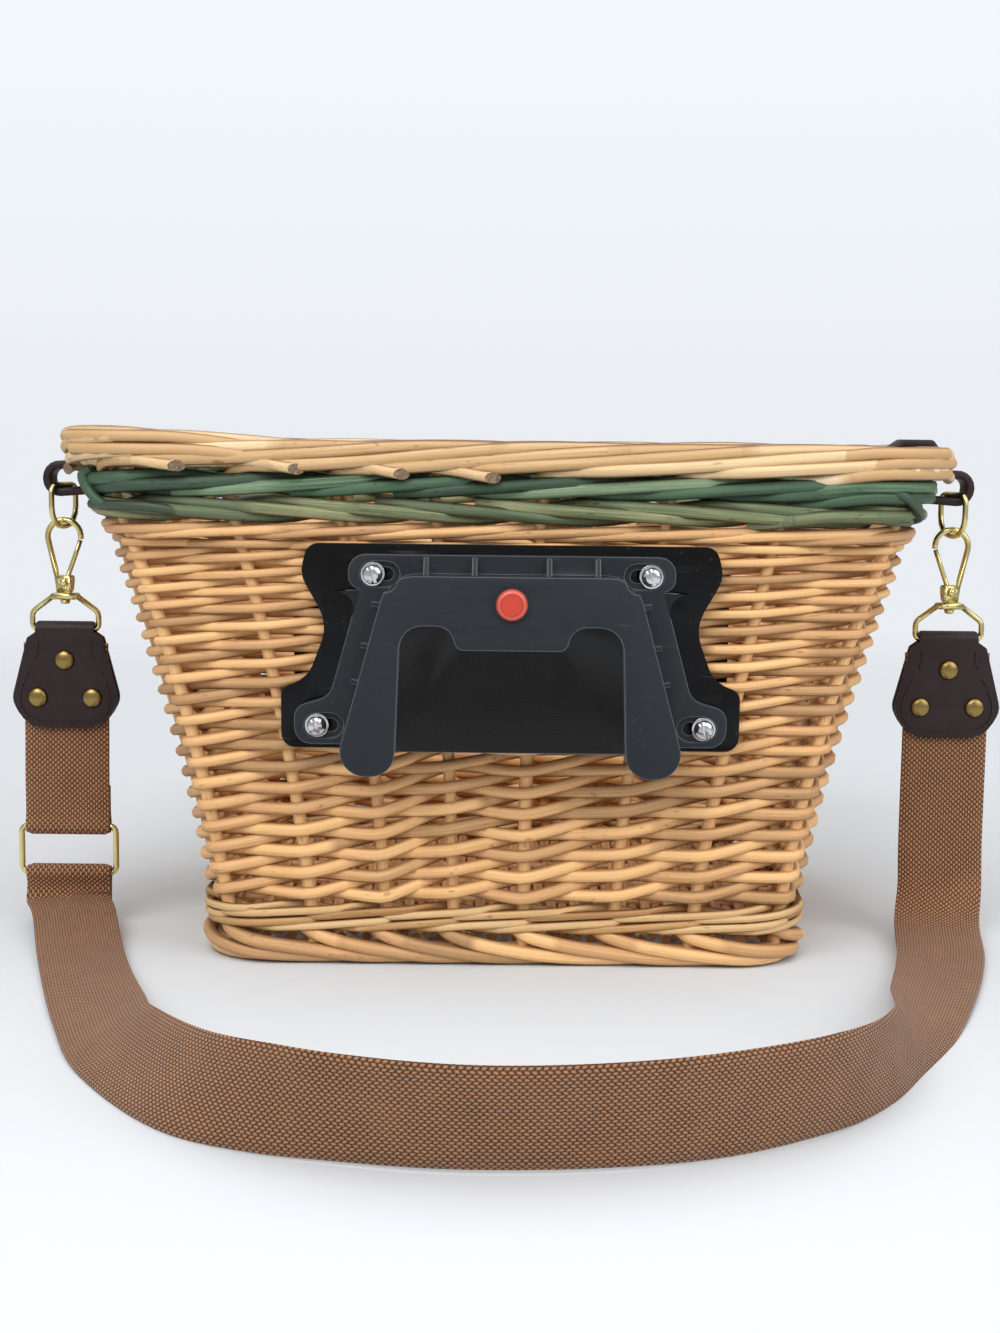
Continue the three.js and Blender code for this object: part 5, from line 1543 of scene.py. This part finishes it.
class BASKET_OT_stage(bpy.types.Operator):
    """Set the floor, the backdrop, the lamps and the camera"""
    bl_idname = "basket.stage"
    bl_label = "Stage"

    def execute(self, context):
        settings = context.scene.stage
        deselect_all()
        bpy.ops.mesh.primitive_plane_add(size=1, location=(0, 0, 0))
        floor = context.object
        floor.name = "floor"
        floor.data.transform(Matrix.Diagonal((FLOOR_SIZE, FLOOR_SIZE, 1.0, 1.0)))
        floor.data.materials.append(floor_material(settings))
        light_room(context, settings)
        camera = bpy.data.cameras.new("camera")
        camera.sensor_width = 36
        camera.lens = CAMERA_LENS
        holder = bpy.data.objects.new("camera", camera)
        context.collection.objects.link(holder)
        x, y, z = CAMERA_PLACE
        holder.matrix_world = (
            Matrix.Translation((x, BODY_Y * MM + y, z))
            @ Matrix.Rotation(math.radians(90 - CAMERA_DROP), 4, "X")
            @ Matrix.Rotation(math.radians(CAMERA_ROLL), 4, "Z")
        )
        context.scene.camera = holder
        context.scene.view_settings.view_transform = "Standard"
        return {"FINISHED"}


def floor_material(settings):
    """Pale matt floor that fades out into its surroundings away from the basket."""
    material, tree, shader = new_material("Pale Floor")
    colour = (*settings.floor_colour, 1.0)
    fill(shader, {"Base Color": colour, "Roughness": 0.7, "Specular IOR Level": 0.1})
    away = node_output(tree, "VectorMath", {0: place_on(tree)}, "Value", operation="LENGTH")
    near, far = FLOOR_FADE
    fade = node_output(tree, "MapRange", interpolation_type="SMOOTHSTEP",
                       inputs={"Value": away, "From Min": near, "From Max": far})
    clear = node_output(tree, "BsdfTransparent")
    mix = node_output(tree, "MixShader", {0: fade, 1: Output(shader.outputs[0]), 2: clear})
    fill(tree.nodes["Material Output"], {"Surface": mix})
    return material


def light_room(context, settings):
    """Plain soft light: pale surroundings and three large lamps."""
    world = bpy.data.worlds.new("room")
    world.use_nodes = True
    context.scene.world = world
    tree = world.node_tree
    around = tree.nodes["Background"]
    fill(around, {"Color": WHITE, "Strength": 0.5 * settings.light})
    upward = split(node_output(tree, "TexCoord", output="Generated"))[2]
    backdrop = ramp(upward, (0.0, srgb(0xEAEEF3)), (0.2, srgb(0xF3F8FC)))
    behind = node_output(tree, "Background", {"Color": backdrop})
    path = add_node(tree, "LightPath").outputs
    seen = reckon("MAXIMUM", Output(path["Is Camera Ray"]), Output(path["Is Transmission Ray"]))
    mix = node_output(tree, "MixShader", {0: seen, 1: Output(around.outputs[0]), 2: behind})
    fill(tree.nodes["World Output"], {"Surface": mix})
    for name, place, size, energy in (
        ("key", (-0.7, -1.5, 1.7), 1.6, 32),
        ("fill", (1.3, -1.1, 1.2), 1.6, 17),
        ("top", (0.0, 0.4, 2.1), 2.2, 19),
    ):
        deselect_all()
        bpy.ops.object.light_add(type="AREA", location=place)
        lamp = context.object
        lamp.name = name
        lamp.data.size = size
        lamp.data.energy = energy * settings.light
        lamp.rotation_euler = (Vector((0, 0, 0.1)) - lamp.location).to_track_quat("-Z", "Y").to_euler()


class BASKET_PT_panel(bpy.types.Panel):
    """Lists the pieces of the basket in the order in which they are made"""
    bl_idname = "BASKET_PT_panel"
    bl_label = "Wicker Basket"
    bl_space_type = "VIEW_3D"
    bl_region_type = "UI"
    bl_category = "Basket"

    def draw(self, context):
        layout = self.layout
        for group in (context.scene.wicker, context.scene.fittings, context.scene.stage):
            box = layout.box()
            for name in group.__annotations__:
                box.prop(group, name)
        for operator in OPERATORS:
            layout.operator(operator.bl_idname)


OPERATORS = (
    BASKET_OT_stage,
    BASKET_OT_webbing,
    BASKET_OT_wall,
    BASKET_OT_green_bands,
    BASKET_OT_rim,
    BASKET_OT_foot,
    BASKET_OT_base,
    BASKET_OT_adapter,
    BASKET_OT_leather,
    BASKET_OT_brass,
)
SETTINGS = {"wicker": WickerSettings, "fittings": FittingSettings, "stage": StageSettings}


def register():
    for name, group in SETTINGS.items():
        bpy.utils.register_class(group)
        setattr(bpy.types.Scene, name, bpy.props.PointerProperty(type=group))
    for operator in OPERATORS:
        bpy.utils.register_class(operator)
    bpy.utils.register_class(BASKET_PT_panel)


def unregister():
    bpy.utils.unregister_class(BASKET_PT_panel)
    for operator in reversed(OPERATORS):
        bpy.utils.unregister_class(operator)
    for name, group in reversed(SETTINGS.items()):
        delattr(bpy.types.Scene, name)
        bpy.utils.unregister_class(group)


def main():
    register()
    bpy.ops.basket.stage()
    bpy.ops.basket.webbing()
    bpy.ops.basket.wall()
    bpy.ops.basket.green_bands()
    bpy.ops.basket.rim()
    bpy.ops.basket.foot()
    bpy.ops.basket.base()
    bpy.ops.basket.adapter()
    bpy.ops.basket.leather()
    bpy.ops.basket.brass()


if __name__ == "__main__":
    main()
